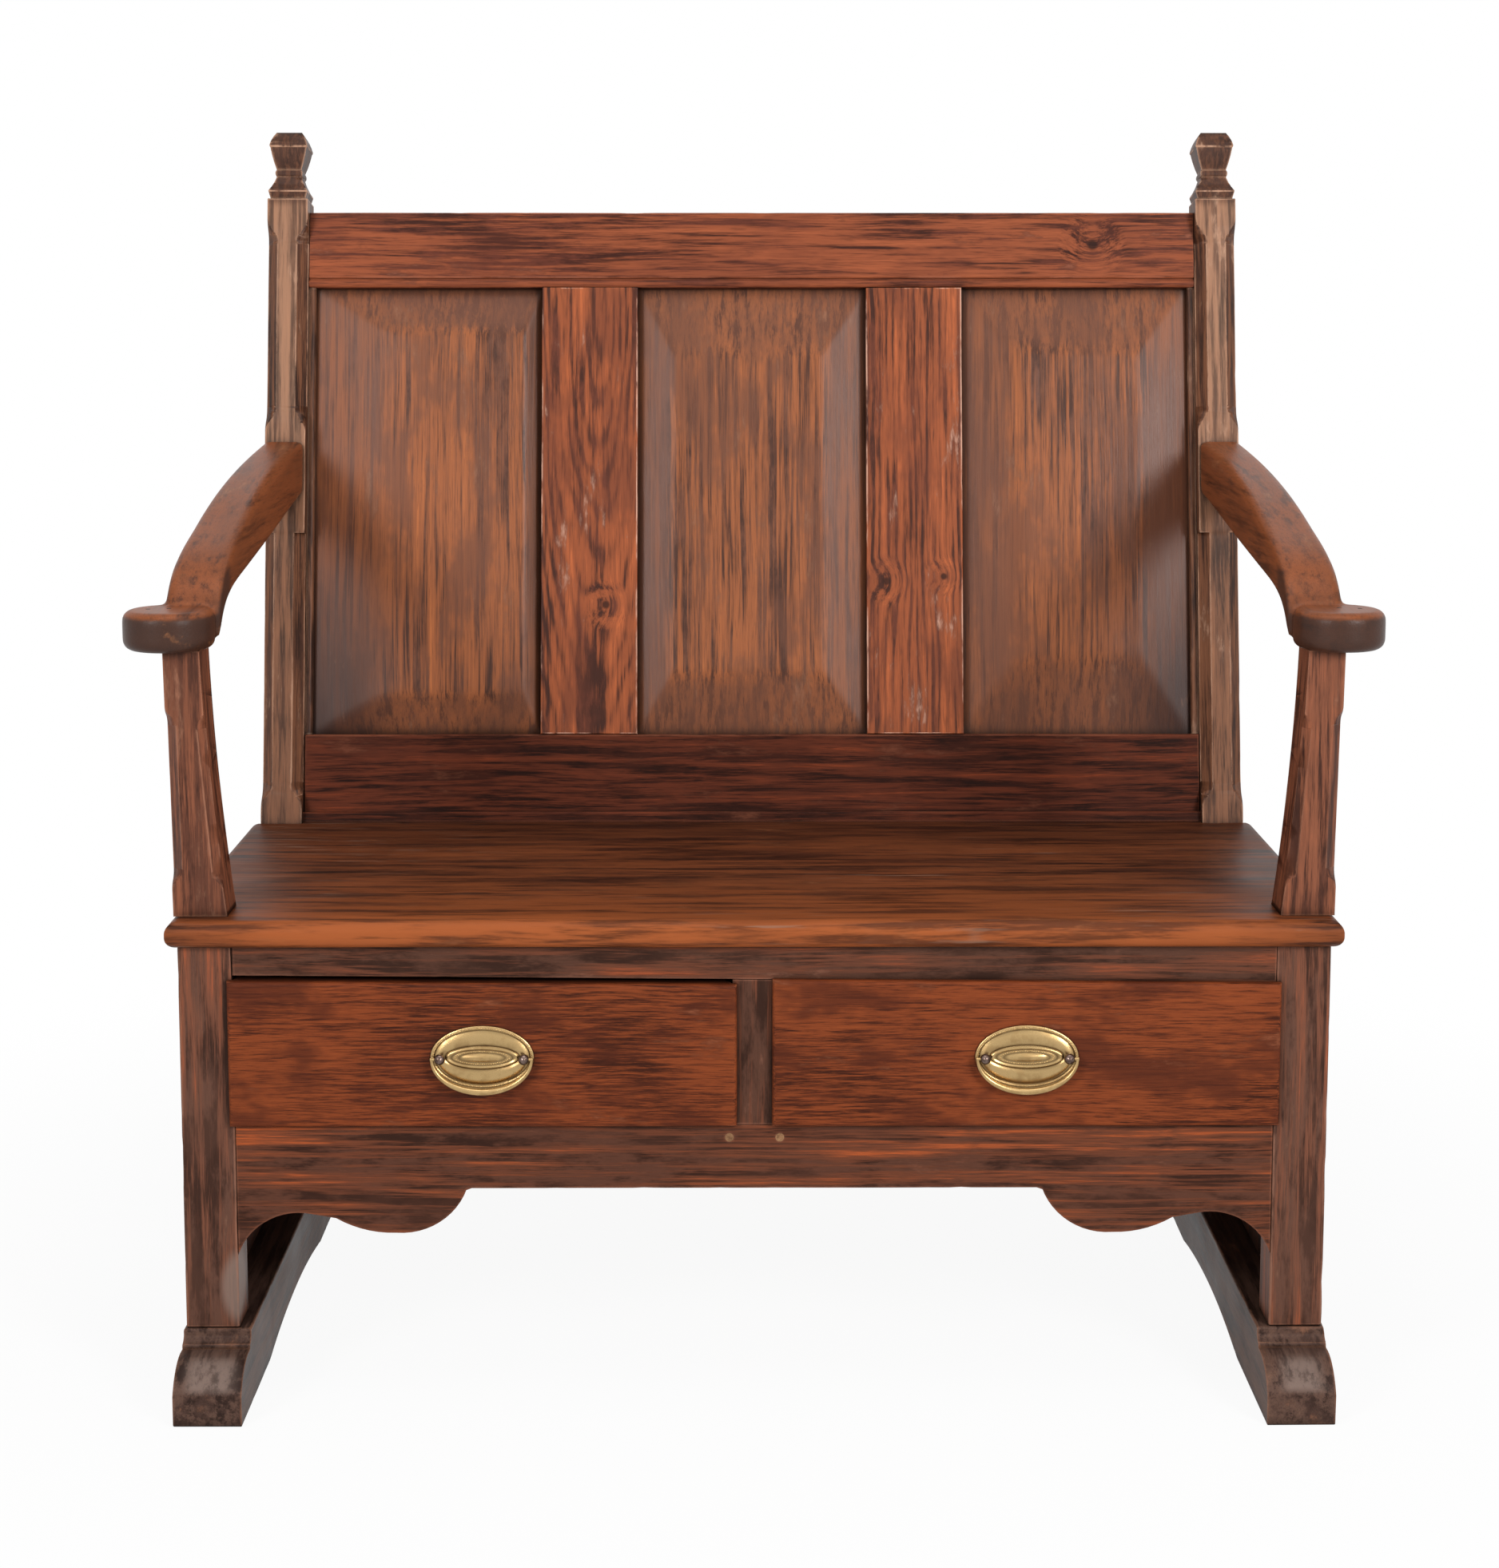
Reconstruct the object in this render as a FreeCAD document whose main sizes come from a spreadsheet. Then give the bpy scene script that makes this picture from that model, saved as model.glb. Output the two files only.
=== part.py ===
"""Settle with a raked panelled back, shaped arms, sledge feet and two drawers under the seat.

Millimetres and degrees. +X is to the right seen from the front, +Y to the back, +Z up.
The origin is on the floor, below the middle of the feet.
"""
import FreeCAD, Part
import math
import os
import re

import Sketcher

SIZES = {
    # front frame and feet
    "base_width": 1045,
    "stile_width": 49,
    "stile_depth": 45,
    "foot_length": 658,
    "foot_width": 62,
    "foot_overhang": 2,
    "foot_height": 70,
    "foot_arch": 14,
    "front_pad_length": 142,
    "rear_pad_length": 190,
    "toe_projection": 58,
    "toe_face_height": 28,
    "toe_roll_height": 54,
    "toe_roll_bulge": 8,
    "toe_fillet_height": 4,
    "toe_fillet_depth": 3,
    "toe_cavetto": 8,
    "heel_face_height": 32,
    "heel_roll_bulge": 10,
    "heel_ledge": 8,
    # rails and apron of the front
    "rail_depth": 30,
    "rail_height_left": 27.5,
    "rail_height_right": 35,
    "divider_width": 40,
    "drawer_opening_height": 132,
    "apron_thickness": 26,
    "apron_depth": 60,
    "apron_straight_width": 526,
    "lobe_centre": 328,
    "lobe_depth": 102,
    "lobe_inner_bulge": 13,
    "lobe_outer_bulge": 4,
    "cusp_centre": 383,
    "cusp_depth": 88,
    "bracket_top_centre": 405,
    "bracket_top_depth": 84,
    "bracket_depth": 123,
    "bracket_bulge": 15,
    # boards that close the ends and the back below the seat
    "board_thickness": 16,
    "end_board_inset": 7,
    "rear_board_setback": 15,
    "rear_board_bottom": 100,
    "tongue_length": 8,
    # seat
    "seat_height": 454,
    "seat_thickness": 25,
    "seat_overhang": 8.5,
    "seat_depth": 417,
    "nosing_projection": 14,
    "nosing_radius": 11,
    "seat_strip_height": 12,
    "seat_strip_depth": 6,
    # rear posts and their finials
    "post_width": 43,
    "post_depth": 43,
    "post_inset": 3,
    "rake_angle": 10.5,
    "post_top": 668,
    "chamfer_width": 11.5,
    "chamfer_stop": 34,
    "upper_chamfer_bottom": 411,
    "upper_chamfer_top": 652,
    "lower_chamfer_bottom": 10,
    "lower_chamfer_top": 308,
    "finial_height": 73,
    "finial_foot_half": 18.6,
    "finial_flare_half": 21,
    "finial_neck_half": 13.2,
    "finial_bell_half": 19.4,
    "finial_brow_half": 20.2,
    "finial_crown_half": 13.6,
    "finial_flare_rise": 8.5,
    "finial_neck_rise": 25,
    "finial_bead_rise": 32.5,
    "finial_bell_rise": 56,
    "finial_crown_rise": 58.5,
    "finial_fillet": 0.8,
    "finial_flare_hollow": 0.8,
    "finial_bead_swell": 1.3,
    "finial_bell_swell": 0.5,
    "finial_crown_swell": 0.8,
    # panelled back, measured along the rake from the seat
    "rail_setback": 13,
    "back_rail_thickness": 26,
    "bottom_rail_top": 94,
    "top_rail_bottom": 574,
    "top_rail_top": 655,
    "rail_bead_height": 8.5,
    "rail_quirk": 2,
    "muntin_spacing": 348,
    "muntin_width": 103,
    "panel_setback": 3,
    "panel_thickness": 15,
    "panel_tongue": 7,
    "panel_groove_depth": 9,
    "panel_bevel_top": 80,
    "panel_bevel_bottom": 70,
    "panel_bevel_side": 48,
    "bead_width": 7.5,
    "bead_depth": 7,
    # arms and their supports
    "arm_front_height": 279,
    "arm_back_height": 400,
    "arm_back_thickness": 57,
    "arm_inset": 1.5,
    "arm_back_width": 43,
    "arm_neck_width": 52,
    "arm_splay": 6.5,
    "arm_mouth_distance": 46,
    "arm_neck_distance": 78,
    "arm_neck_under": 276,
    "arm_neck_top": 310,
    "arm_rise_distance": 130,
    "arm_rise_under": 290,
    "arm_rise_top": 331,
    "arm_sweep_distance": 200,
    "arm_sweep_under": 300,
    "arm_sweep_top": 351,
    "arm_middle_distance": 290,
    "arm_middle_under": 313,
    "arm_middle_top": 372,
    "arm_shoulder_distance": 390,
    "arm_shoulder_under": 328.5,
    "arm_shoulder_top": 388,
    "arm_rounding": 8,
    "grip_radius": 41,
    "grip_thickness": 36,
    "grip_rounding": 9,
    "grip_inset": 3,
    "grip_projection": 14,
    "support_overhang": 4.5,
    "support_top_width": 33,
    "support_bottom_width": 49,
    "support_lean": 4,
    "support_depth": 44,
    "support_setback": 10,
    "support_hollow": 3,
    "support_chamfer": 10,
    "support_chamfer_stop": 22,
    "support_chamfer_bottom": 22,
    "support_chamfer_top": 196,
    "arm_nail_radius": 2,
    "arm_nail_length": 8,
    "arm_nail_spacing": 18,
    # joinery
    "tenon_thickness": 14,
    "tenon_length": 28,
    "tenon_shoulder": 5,
    "tenon_end_gap": 1,
    # how far a cutter runs past the face that it comes out of
    "cut_past": 1,
    "divider_tenon_length": 15,
    "joint_clearance": 0.15,
    "peg_radius": 4,
    "peg_spacing": 46,
    "peg_drop": 12,
    "peg_grip": 20,
    # drawers and what they run on
    "drawer_side_gap": 1.5,
    "drawer_lift": 0.3,
    "drawer_front_thickness": 22,
    "lip_thickness": 8,
    "lip_gap": 0.3,
    "lip_overlap": 4,
    "lip_rounding": 4,
    "right_lip_cover": 1.5,
    "left_top_gap": 3.5,
    "right_top_gap": 1.5,
    "drawer_back_room": 32,
    "drawer_side_height": 120,
    "drawer_side_thickness": 12,
    "drawer_back_inset": 8,
    "drawer_back_drop": 7,
    "drawer_bottom_thickness": 7,
    "drawer_bottom_lift": 10,
    "drawer_groove_depth": 5,
    "tail_length": 10,
    "tail_root": 18,
    "tail_tip": 25,
    "runner_height": 26,
    "runner_width": 25,
    "guide_height": 38,
    "kicker_gap": 3,
    # brass pulls
    "plate_width": 96,
    "plate_height": 59,
    "plate_edge": 1.2,
    "plate_rim_width": 5,
    "plate_rim_height": 2.2,
    "plate_dish_height": 1.2,
    "plate_ring_inset": 13,
    "plate_ring_height": 2.8,
    "boss_width": 52,
    "boss_height": 17,
    "boss_rise": 4.2,
    "pull_post_spacing": 76,
    "pull_post_radius": 2.5,
    "pull_ball_radius": 5,
    "pull_ball_standoff": 7.5,
    "pull_collar_radius": 3.6,
    "nut_width": 10,
    "nut_thickness": 4,
    "bail_width": 92,
    "bail_drop": 33,
    "bail_radius": 2.3,
    "bail_side_radius": 18,
    "bail_pin_radius": 1.3,
    "bail_pin_length": 10,
    "bail_pin_clearance": 0.06,
}

TAILS_PER_CORNER = 3
# Turn of the plane that halves a front corner, at the left or the right of a piece
LEFT_ARRIS = 45
RIGHT_ARRIS = 135
X_AXIS = FreeCAD.Vector(1, 0, 0)
Y_AXIS = FreeCAD.Vector(0, 1, 0)
Z_AXIS = FreeCAD.Vector(0, 0, 1)

# Places worked out from the sizes; front-frame depths are counted back from the frame's face
FRONT = "(toe_projection - foot_length / 2)"
BASE_HALF = "(base_width / 2)"
STILE_IN = "(base_width / 2 - stile_width)"
FOOT_OUT = "(base_width / 2 + foot_overhang)"
FOOT_IN = "(base_width / 2 + foot_overhang - foot_width)"
POST_OUT = "(base_width / 2 - post_inset)"
POST_IN = "(base_width / 2 - post_inset - post_width)"
POST_MIDDLE = "(base_width / 2 - post_inset - post_width / 2)"
POST_BACK = "(seat_depth + post_depth)"
END_BOARD_OUT = "(base_width / 2 - end_board_inset)"
END_BOARD_IN = "(base_width / 2 - end_board_inset - board_thickness)"
REAR_BOARD_FRONT = "(seat_depth + rear_board_setback)"
REAR_BOARD_BACK = "(seat_depth + rear_board_setback + board_thickness)"
SEAT_UNDER = "(seat_height - seat_thickness)"
APRON_TOP = f"({SEAT_UNDER} - rail_height_right - drawer_opening_height)"
DIVIDER_HALF = "(divider_width / 2)"
GRIP_TOP = "(seat_height + arm_front_height)"
GRIP_UNDER = "(seat_height + arm_front_height - grip_thickness)"
ARM_IN = f"({POST_IN} + arm_inset)"
SUPPORT_OUT = "(base_width / 2 + support_overhang)"
SUPPORT_TOP_OUT = f"({SUPPORT_OUT} + support_lean)"
SUPPORT_MIDDLE = f"({SUPPORT_TOP_OUT} - support_top_width / 2)"
SUPPORT_FOOT_MIDDLE = f"({SUPPORT_OUT} - support_bottom_width / 2)"
GRIP_CENTRE = f"({SUPPORT_TOP_OUT} - grip_inset)"
BACK_RAIL_BACK = "(rail_setback + back_rail_thickness)"
TONGUE_FRONT = "(rail_setback + panel_setback + panel_thickness - panel_tongue)"
TONGUE_BACK = "(rail_setback + panel_setback + panel_thickness)"
MUNTIN_IN = "(muntin_spacing / 2 - muntin_width / 2)"
MUNTIN_OUT = "(muntin_spacing / 2 + muntin_width / 2)"
MUNTIN_REACH = "(tenon_length - panel_groove_depth)"
BOX_IN = f"({DIVIDER_HALF} + drawer_side_gap)"
BOX_OUT = f"({STILE_IN} - drawer_side_gap)"
BOX_LOW = f"({APRON_TOP} + drawer_lift)"
BOX_TOP = f"({BOX_LOW} + drawer_side_height)"
LIP_FACE = "(0 - lip_gap - lip_thickness)"
FRONT_INNER_FACE = f"({LIP_FACE} + drawer_front_thickness)"
DRAWER_END = f"({REAR_BOARD_FRONT} - drawer_back_room)"
DRAWER_BACK_FRONT = f"({DRAWER_END} - drawer_back_inset - drawer_side_thickness)"
BOTTOM_LOW = f"({BOX_LOW} + drawer_bottom_lift)"
BOTTOM_TOP = f"({BOTTOM_LOW} + drawer_bottom_thickness)"
PULL_X = f"(({DIVIDER_HALF} + {STILE_IN}) / 2)"
PULL_Z = f"({APRON_TOP} + drawer_opening_height / 2)"
NUT_BACK = "(0 - drawer_front_thickness - nut_thickness)"

# The two frames that most pieces are drawn in: x, y, z of the origin and the tilt about X
FRONT_FRAME = ("0", FRONT, "0", None)
RAKED_FRAME = ("0", f"{FRONT} + seat_depth", "seat_height", "0 - rake_angle")

NAMES = re.compile(r"\b(" + "|".join(SIZES) + r")\b")

doc = FreeCAD.newDocument("settle")
sheet = doc.addObject("Spreadsheet::Sheet", "Sizes")
nodes = []


def fill_sheet():
    """Write each driving dimension in a cell of its own, with its name as the alias."""
    for row, (name, size) in enumerate(SIZES.items(), start=1):
        sheet.set(f"A{row}", name)
        sheet.set(f"B{row}", str(size))
        sheet.setAlias(f"B{row}", name)
    doc.recompute()


def bound(expression):
    """The expression with each size pointing at its cell."""
    return NAMES.sub(r"Sizes.\1", expression)


def value(expression):
    """The expression worked out with the sheet's numbers."""
    return float(sheet.evalExpression(expression))


def rail_low(x):
    """Height of the front top rail's lower edge, which runs out of level, at a place along it."""
    left = f"({SEAT_UNDER} - rail_height_left)"
    right = f"({SEAT_UNDER} - rail_height_right)"
    return f"(({left} + {right}) / 2 + ({right} - {left}) * ({x}) / (2 * {STILE_IN}))"


def post_front(z):
    """Depth of the raked front of the posts at a height above the floor."""
    return f"(seat_depth + (({z}) - seat_height) * tan(rake_angle))"


def place(thing, frame):
    """Set an object's place from the expressions of a frame."""
    x, y, z, tilt = frame
    if tilt is not None:
        thing.Placement = FreeCAD.Placement(FreeCAD.Vector(), FreeCAD.Rotation(X_AXIS, value(tilt)))
        thing.setExpression("Placement.Rotation.Angle", bound(tilt))
    thing.setExpression("Placement.Base.x", bound(x))
    thing.setExpression("Placement.Base.y", bound(y))
    thing.setExpression("Placement.Base.z", bound(z))


def new_body(label, frame=FRONT_FRAME):
    body = doc.addObject("PartDesign::Body", label)
    body.Label = label
    place(body, frame)
    return body


def keep(thing, label):
    """Name a finished sub-part and put it on the list that is written out."""
    thing.Label = label
    nodes.append(thing)
    return thing


def sketch_on(body, plane, offset):
    """An empty sketch on one of the body's origin planes, moved along the plane's normal."""
    sketch = body.newObject("Sketcher::SketchObject", "Sketch")
    planes = {item.Role: item for item in body.Origin.OriginFeatures}
    sketch.AttachmentSupport = [(planes[f"{plane}_Plane"], "")]
    sketch.MapMode = "FlatFace"
    sketch.setExpression("AttachmentOffset.Base.z", bound(offset))
    return sketch


def fix(sketch, kind, geometry, point, expression):
    """Tie one coordinate of a point to an expression."""
    constraint = Sketcher.Constraint(kind, -1, 1, geometry, point, value(expression))
    index = sketch.addConstraint(constraint)
    sketch.setExpression(f"Constraints[{index}]", bound(expression))


def add_segment(sketch, start, end):
    """Add the line or arc that leads to a corner; returns its number and its two point ids."""
    first = FreeCAD.Vector(value(start[0]), value(start[1]), 0)
    last = FreeCAD.Vector(value(end[0]), value(end[1]), 0)
    if len(end) == 2:
        return sketch.addGeometry(Part.LineSegment(first, last), False), 1, 2
    bulge = value(end[2])
    chord = last - first
    radius = chord.Length ** 2 / (8 * abs(bulge)) + abs(bulge) / 2
    aside = FreeCAD.Vector(chord.y, -chord.x, 0).normalize()
    sign = 1 if bulge > 0 else -1
    centre = (first + last) * 0.5 + aside * (bulge - sign * radius)
    begin, finish = (first, last) if bulge > 0 else (last, first)
    angles = [math.atan2(point.y - centre.y, point.x - centre.x) for point in (begin, finish)]
    arc = Part.ArcOfCircle(Part.Circle(centre, Z_AXIS, radius), *angles)
    number = sketch.addGeometry(arc, False)
    span = f"((({end[0]}) - ({start[0]}))^2 + (({end[1]}) - ({start[1]}))^2)"
    size = f"{span} / (8 * abs({end[2]})) + abs({end[2]}) / 2"
    index = sketch.addConstraint(Sketcher.Constraint("Radius", number, radius))
    sketch.setExpression(f"Constraints[{index}]", bound(size))
    return (number, 1, 2) if bulge > 0 else (number, 2, 1)


def draw(sketch, corners, closed=True):
    """Draw an outline through corners (x, y), or (x, y, bulge) where an arc leads to the corner.

    A positive bulge swells to the right of the way along the outline. The first corner's bulge
    belongs to the stretch that closes the outline.
    """
    pairs = list(zip(corners, corners[1:]))
    if closed:
        pairs.append((corners[-1], corners[0]))
    pieces = [add_segment(sketch, start, end) for start, end in pairs]
    for (start, _), (number, first, _) in zip(pairs, pieces):
        fix(sketch, "DistanceX", number, first, start[0])
        fix(sketch, "DistanceY", number, first, start[1])
    joints = list(zip(pieces, pieces[1:]))
    if closed:
        joints.append((pieces[-1], pieces[0]))
    else:
        number, _, last = pieces[-1]
        fix(sketch, "DistanceX", number, last, corners[-1][0])
        fix(sketch, "DistanceY", number, last, corners[-1][1])
    for (number, _, last), (following, first, _) in joints:
        sketch.addConstraint(Sketcher.Constraint("Coincident", number, last, following, first))


def draw_circle(sketch, x, y, radius):
    centre = FreeCAD.Vector(value(x), value(y), 0)
    number = sketch.addGeometry(Part.Circle(centre, Z_AXIS, value(radius)), False)
    fix(sketch, "DistanceX", number, 3, x)
    fix(sketch, "DistanceY", number, 3, y)
    index = sketch.addConstraint(Sketcher.Constraint("Radius", number, value(radius)))
    sketch.setExpression(f"Constraints[{index}]", bound(radius))


def rectangle(x_low, x_high, y_low, y_high):
    return [(x_low, y_low), (x_high, y_low), (x_high, y_high), (x_low, y_high)]


def extrude(body, sketch, length, cut):
    feature = body.newObject("PartDesign::Pocket" if cut else "PartDesign::Pad", "Cut" if cut else "Pad")
    feature.Profile = sketch
    feature.Reversed = cut
    feature.setExpression("Length", bound(length))
    return feature


def slab(body, plane, low, high, *outlines, cut=False):
    """Add, or cut, an outline between two places along the axis square to its plane."""
    sketch = sketch_on(body, plane, f"0 - ({high})" if plane == "XZ" else low)
    for corners in outlines:
        draw(sketch, corners)
    return extrude(body, sketch, f"({high}) - ({low})", cut)


def rod(body, plane, low, high, x, y, radius, cut=False):
    """Add, or cut, a round rod between two places along the axis square to its plane."""
    sketch = sketch_on(body, plane, f"0 - ({high})" if plane == "XZ" else low)
    draw_circle(sketch, x, y, radius)
    return extrude(body, sketch, f"({high}) - ({low})", cut)


def backwards(corners):
    """The same stretch of outline walked the other way."""
    bulges = [[f"0 - ({bulge})" for bulge in corner[2:]] for corner in corners[1:]]
    points = [corner[:2] for corner in reversed(corners)]
    return [points[0]] + [(*point, *bulge) for point, bulge in zip(points[1:], reversed(bulges))]


def reflected(corners):
    """A stretch of outline turned over to the other side of the settle."""
    return [(f"0 - {x}", y, *[f"0 - ({size})" for size in bulge]) for x, y, *bulge in corners]


def on_side(sign, low, high):
    """A span along X on the right of the settle, or its reflection on the left."""
    return (low, high) if sign > 0 else (f"(0 - {high})", f"(0 - {low})")


def twin(source, label):
    """The same piece for the other side of the settle."""
    mirrored = doc.addObject("Part::Mirroring", label)
    mirrored.Source = source
    mirrored.Normal = X_AXIS
    return keep(mirrored, label)


def join(label, pieces):
    fused = doc.addObject("Part::MultiFuse", label)
    fused.Shapes = pieces
    fused.Label = label
    return fused


def group(label, pieces):
    """One node that holds several separate solids."""
    compound = doc.addObject("Part::Compound", label)
    compound.Links = pieces
    return keep(compound, label)


def widened(low, high):
    """A mortise's span: the tenon's span with the joint clearance on both sides."""
    return f"({low}) - joint_clearance", f"({high}) + joint_clearance"


def stopped_chamfer(body, arris_x, arris_y, turn, lean, depth, outline):
    """Cut a stopped chamfer along an upright arris.

    The outline is drawn in the plane that holds the arris and halves its corner; turn is that
    plane's angle about the arris and lean tips the arris sideways.
    """
    sketch = sketch_on(body, "XZ", f"0 - ({arris_y})")
    tip = FreeCAD.Rotation(Z_AXIS, lean)
    offset = FreeCAD.Vector(value(arris_x), 0, -value(arris_y))
    sketch.AttachmentOffset = FreeCAD.Placement(offset, tip * FreeCAD.Rotation(Y_AXIS, turn))
    sketch.setExpression("AttachmentOffset.Base.x", bound(arris_x))
    draw(sketch, outline)
    feature = extrude(body, sketch, f"4 * ({depth})", True)
    feature.Midplane = True


def chamfer_outline(low, high, width, stop, square_top=False):
    """Side view of a chamfer's waste: full depth between two ogee stops, or one ogee and one square stop."""
    deep = f"({width} / sqrt(2))"
    swell = f"({width} / 8)"
    outside = f"0 - {width}"
    bottom = [
        (outside, low),
        ("0", low),
        (f"{deep} / 2", f"({low}) + {stop} / 2", f"0 - {swell}"),
        (deep, f"({low}) + {stop}", swell),
    ]
    if square_top:
        return bottom + [(deep, high), (outside, high)]
    top = [
        (deep, f"({high}) - {stop}"),
        (f"{deep} / 2", f"({high}) - {stop} / 2", swell),
        ("0", high, f"0 - {swell}"),
        (outside, high),
    ]
    return bottom + top


def sledge_foot():
    """Foot that runs from front to back: moulded toe, rounded heel, and an arch between two pads."""
    body = new_body("sledge_foot_right")
    back = "(foot_length - toe_projection)"
    fillet_y = "(0 - toe_fillet_depth)"
    cavetto_y = "(0 - toe_fillet_depth - toe_cavetto)"
    cavetto_z = "(toe_roll_height + toe_fillet_height)"
    profile = [
        ("0 - toe_projection", "0"),
        ("front_pad_length - toe_projection", "0"),
        (f"{back} - rear_pad_length", "0", "0 - foot_arch"),
        (back, "0"),
        (back, "heel_face_height"),
        (f"{POST_BACK} + heel_ledge", "foot_height", "heel_roll_bulge"),
        (fillet_y, "foot_height"),
        (fillet_y, f"(foot_height + {cavetto_z}) / 2"),
        (cavetto_y, cavetto_z, "0 - toe_cavetto / 6"),
        (cavetto_y, "toe_roll_height"),
        (f"{cavetto_y} - toe_fillet_height", "toe_roll_height"),
        ("0 - toe_projection", "toe_face_height", "toe_roll_bulge"),
    ]
    slab(body, "YZ", FOOT_IN, FOOT_OUT, profile)
    for middle, front, rear in (stile_tenon(), leg_tenon()):
        span = widened(f"{middle} - tenon_thickness / 2", f"{middle} + tenon_thickness / 2")
        socket = rectangle(*span, *widened(front, rear))
        slab(body, "XY", "foot_height - tenon_length - tenon_end_gap", "foot_height", socket, cut=True)
    twin(keep(body, "sledge_foot_right"), "sledge_foot_left")


def stile_tenon():
    """Middle, front and rear of the tenon below a front stile."""
    return f"({BASE_HALF} - stile_width / 2)", "tenon_shoulder", "(stile_depth - tenon_shoulder)"


def leg_tenon():
    """Middle, front and rear of the tenon below a rear post."""
    return POST_MIDDLE, "(seat_depth + tenon_shoulder)", f"({POST_BACK} - tenon_shoulder)"


def foot_tenon(body, tenon):
    middle, front, rear = tenon
    outline = rectangle(f"{middle} - tenon_thickness / 2", f"{middle} + tenon_thickness / 2", front, rear)
    slab(body, "XY", "foot_height - tenon_length", "foot_height", outline)


def end_board_groove(body, front, rear):
    span = widened(END_BOARD_IN, END_BOARD_OUT)
    slab(body, "XY", "foot_height", SEAT_UNDER, rectangle(*span, front, rear), cut=True)


def rail_tenon():
    """Front, rear, low and high of the tenon on the front top rail."""
    low = f"({SEAT_UNDER} - rail_height_left + tenon_shoulder / 2)"
    return "tenon_shoulder", "(tenon_shoulder + tenon_thickness)", low, f"({SEAT_UNDER} - tenon_shoulder)"


def apron_tenon():
    """Front, rear, low and high of the tenon on the apron rail."""
    low = f"({APRON_TOP} - apron_depth)"
    return "tenon_shoulder", "(tenon_shoulder + tenon_thickness)", low, f"({APRON_TOP} - 2 * tenon_shoulder)"


def front_stile():
    body = new_body("front_stile_right")
    slab(body, "XY", "foot_height", SEAT_UNDER, rectangle(STILE_IN, BASE_HALF, "0", "stile_depth"))
    foot_tenon(body, stile_tenon())
    end_board_groove(body, "stile_depth - tongue_length", "stile_depth")
    for front, rear, low, high in (rail_tenon(), apron_tenon()):
        mortise = rectangle(*widened(front, rear), *widened(low, high))
        slab(body, "YZ", STILE_IN, f"{STILE_IN} + tenon_length + tenon_end_gap", mortise, cut=True)
    twin(keep(body, "front_stile_right"), "front_stile_left")


def end_board():
    body = new_body("end_board_right")
    front = "stile_depth - tongue_length + joint_clearance"
    rear = "seat_depth + tongue_length - joint_clearance"
    slab(body, "XY", "foot_height", SEAT_UNDER, rectangle(END_BOARD_IN, END_BOARD_OUT, front, rear))
    twin(keep(body, "end_board_right"), "end_board_left")


def end_tenons(body, tenon):
    """The two tenons that a front rail holds in the stiles."""
    front, rear, low, high = tenon
    outline = rectangle(front, rear, low, high)
    slab(body, "YZ", STILE_IN, f"{STILE_IN} + tenon_length", outline)
    slab(body, "YZ", f"0 - {STILE_IN} - tenon_length", f"0 - {STILE_IN}", outline)


def divider_mortise(body, low, high):
    half = "(divider_width / 2 - tenon_shoulder)"
    span = widened(f"0 - {half}", half)
    depth = widened("tenon_shoulder", "tenon_shoulder + tenon_thickness")
    slab(body, "XY", low, high, rectangle(*span, *depth), cut=True)


def front_top_rail():
    """Rail above the drawers; its lower edge drops a little from left to right."""
    body = new_body("front_top_rail")
    left = f"0 - {STILE_IN}"
    lower = [(left, rail_low(left)), (STILE_IN, rail_low(STILE_IN))]
    outline = lower + [(STILE_IN, SEAT_UNDER), (left, SEAT_UNDER)]
    slab(body, "XZ", "0", "rail_depth", outline)
    end_tenons(body, rail_tenon())
    middle = rail_low("0")
    divider_mortise(body, f"{middle} - tenon_shoulder", f"{middle} + divider_tenon_length + tenon_end_gap")
    keep(body, "front_top_rail")


def drawer_divider():
    body = new_body("drawer_divider")
    left = f"0 - {DIVIDER_HALF}"
    outline = [
        (left, APRON_TOP),
        (DIVIDER_HALF, APRON_TOP),
        (DIVIDER_HALF, rail_low(DIVIDER_HALF)),
        (left, rail_low(left)),
    ]
    slab(body, "XZ", "0", "rail_depth", outline)
    half = "(divider_width / 2 - tenon_shoulder)"
    tenon = rectangle(f"0 - {half}", half, "tenon_shoulder", "tenon_shoulder + tenon_thickness")
    slab(body, "XY", f"{APRON_TOP} - divider_tenon_length", APRON_TOP, tenon)
    slab(body, "XY", f"{rail_low('0')} - tenon_shoulder", f"{rail_low('0')} + divider_tenon_length", tenon)
    keep(body, "drawer_divider")


def apron_rail():
    """Rail below the drawers: straight in the middle, a lobe and a hollow bracket at each end."""
    body = new_body("apron_rail")
    half_edge = [
        ("(apron_straight_width / 2)", "apron_depth"),
        ("lobe_centre", "lobe_depth", "lobe_inner_bulge"),
        ("cusp_centre", "cusp_depth", "lobe_outer_bulge"),
        ("bracket_top_centre", "bracket_top_depth"),
        (STILE_IN, "bracket_depth", "0 - bracket_bulge"),
    ]
    edge = [(x, f"{APRON_TOP} - {depth}", *bulge) for x, depth, *bulge in half_edge]
    outline = reflected(backwards(edge)) + edge + [(STILE_IN, APRON_TOP), (f"0 - {STILE_IN}", APRON_TOP)]
    slab(body, "XZ", "0", "apron_thickness", outline)
    end_tenons(body, apron_tenon())
    divider_mortise(body, f"{APRON_TOP} - divider_tenon_length - tenon_end_gap", APRON_TOP)
    for side in ("", "0 - "):
        rod(body, "XZ", "0", "apron_thickness", f"{side}peg_spacing / 2", f"{APRON_TOP} - peg_drop",
            "peg_radius + joint_clearance / 3", cut=True)
    keep(body, "apron_rail")


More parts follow.
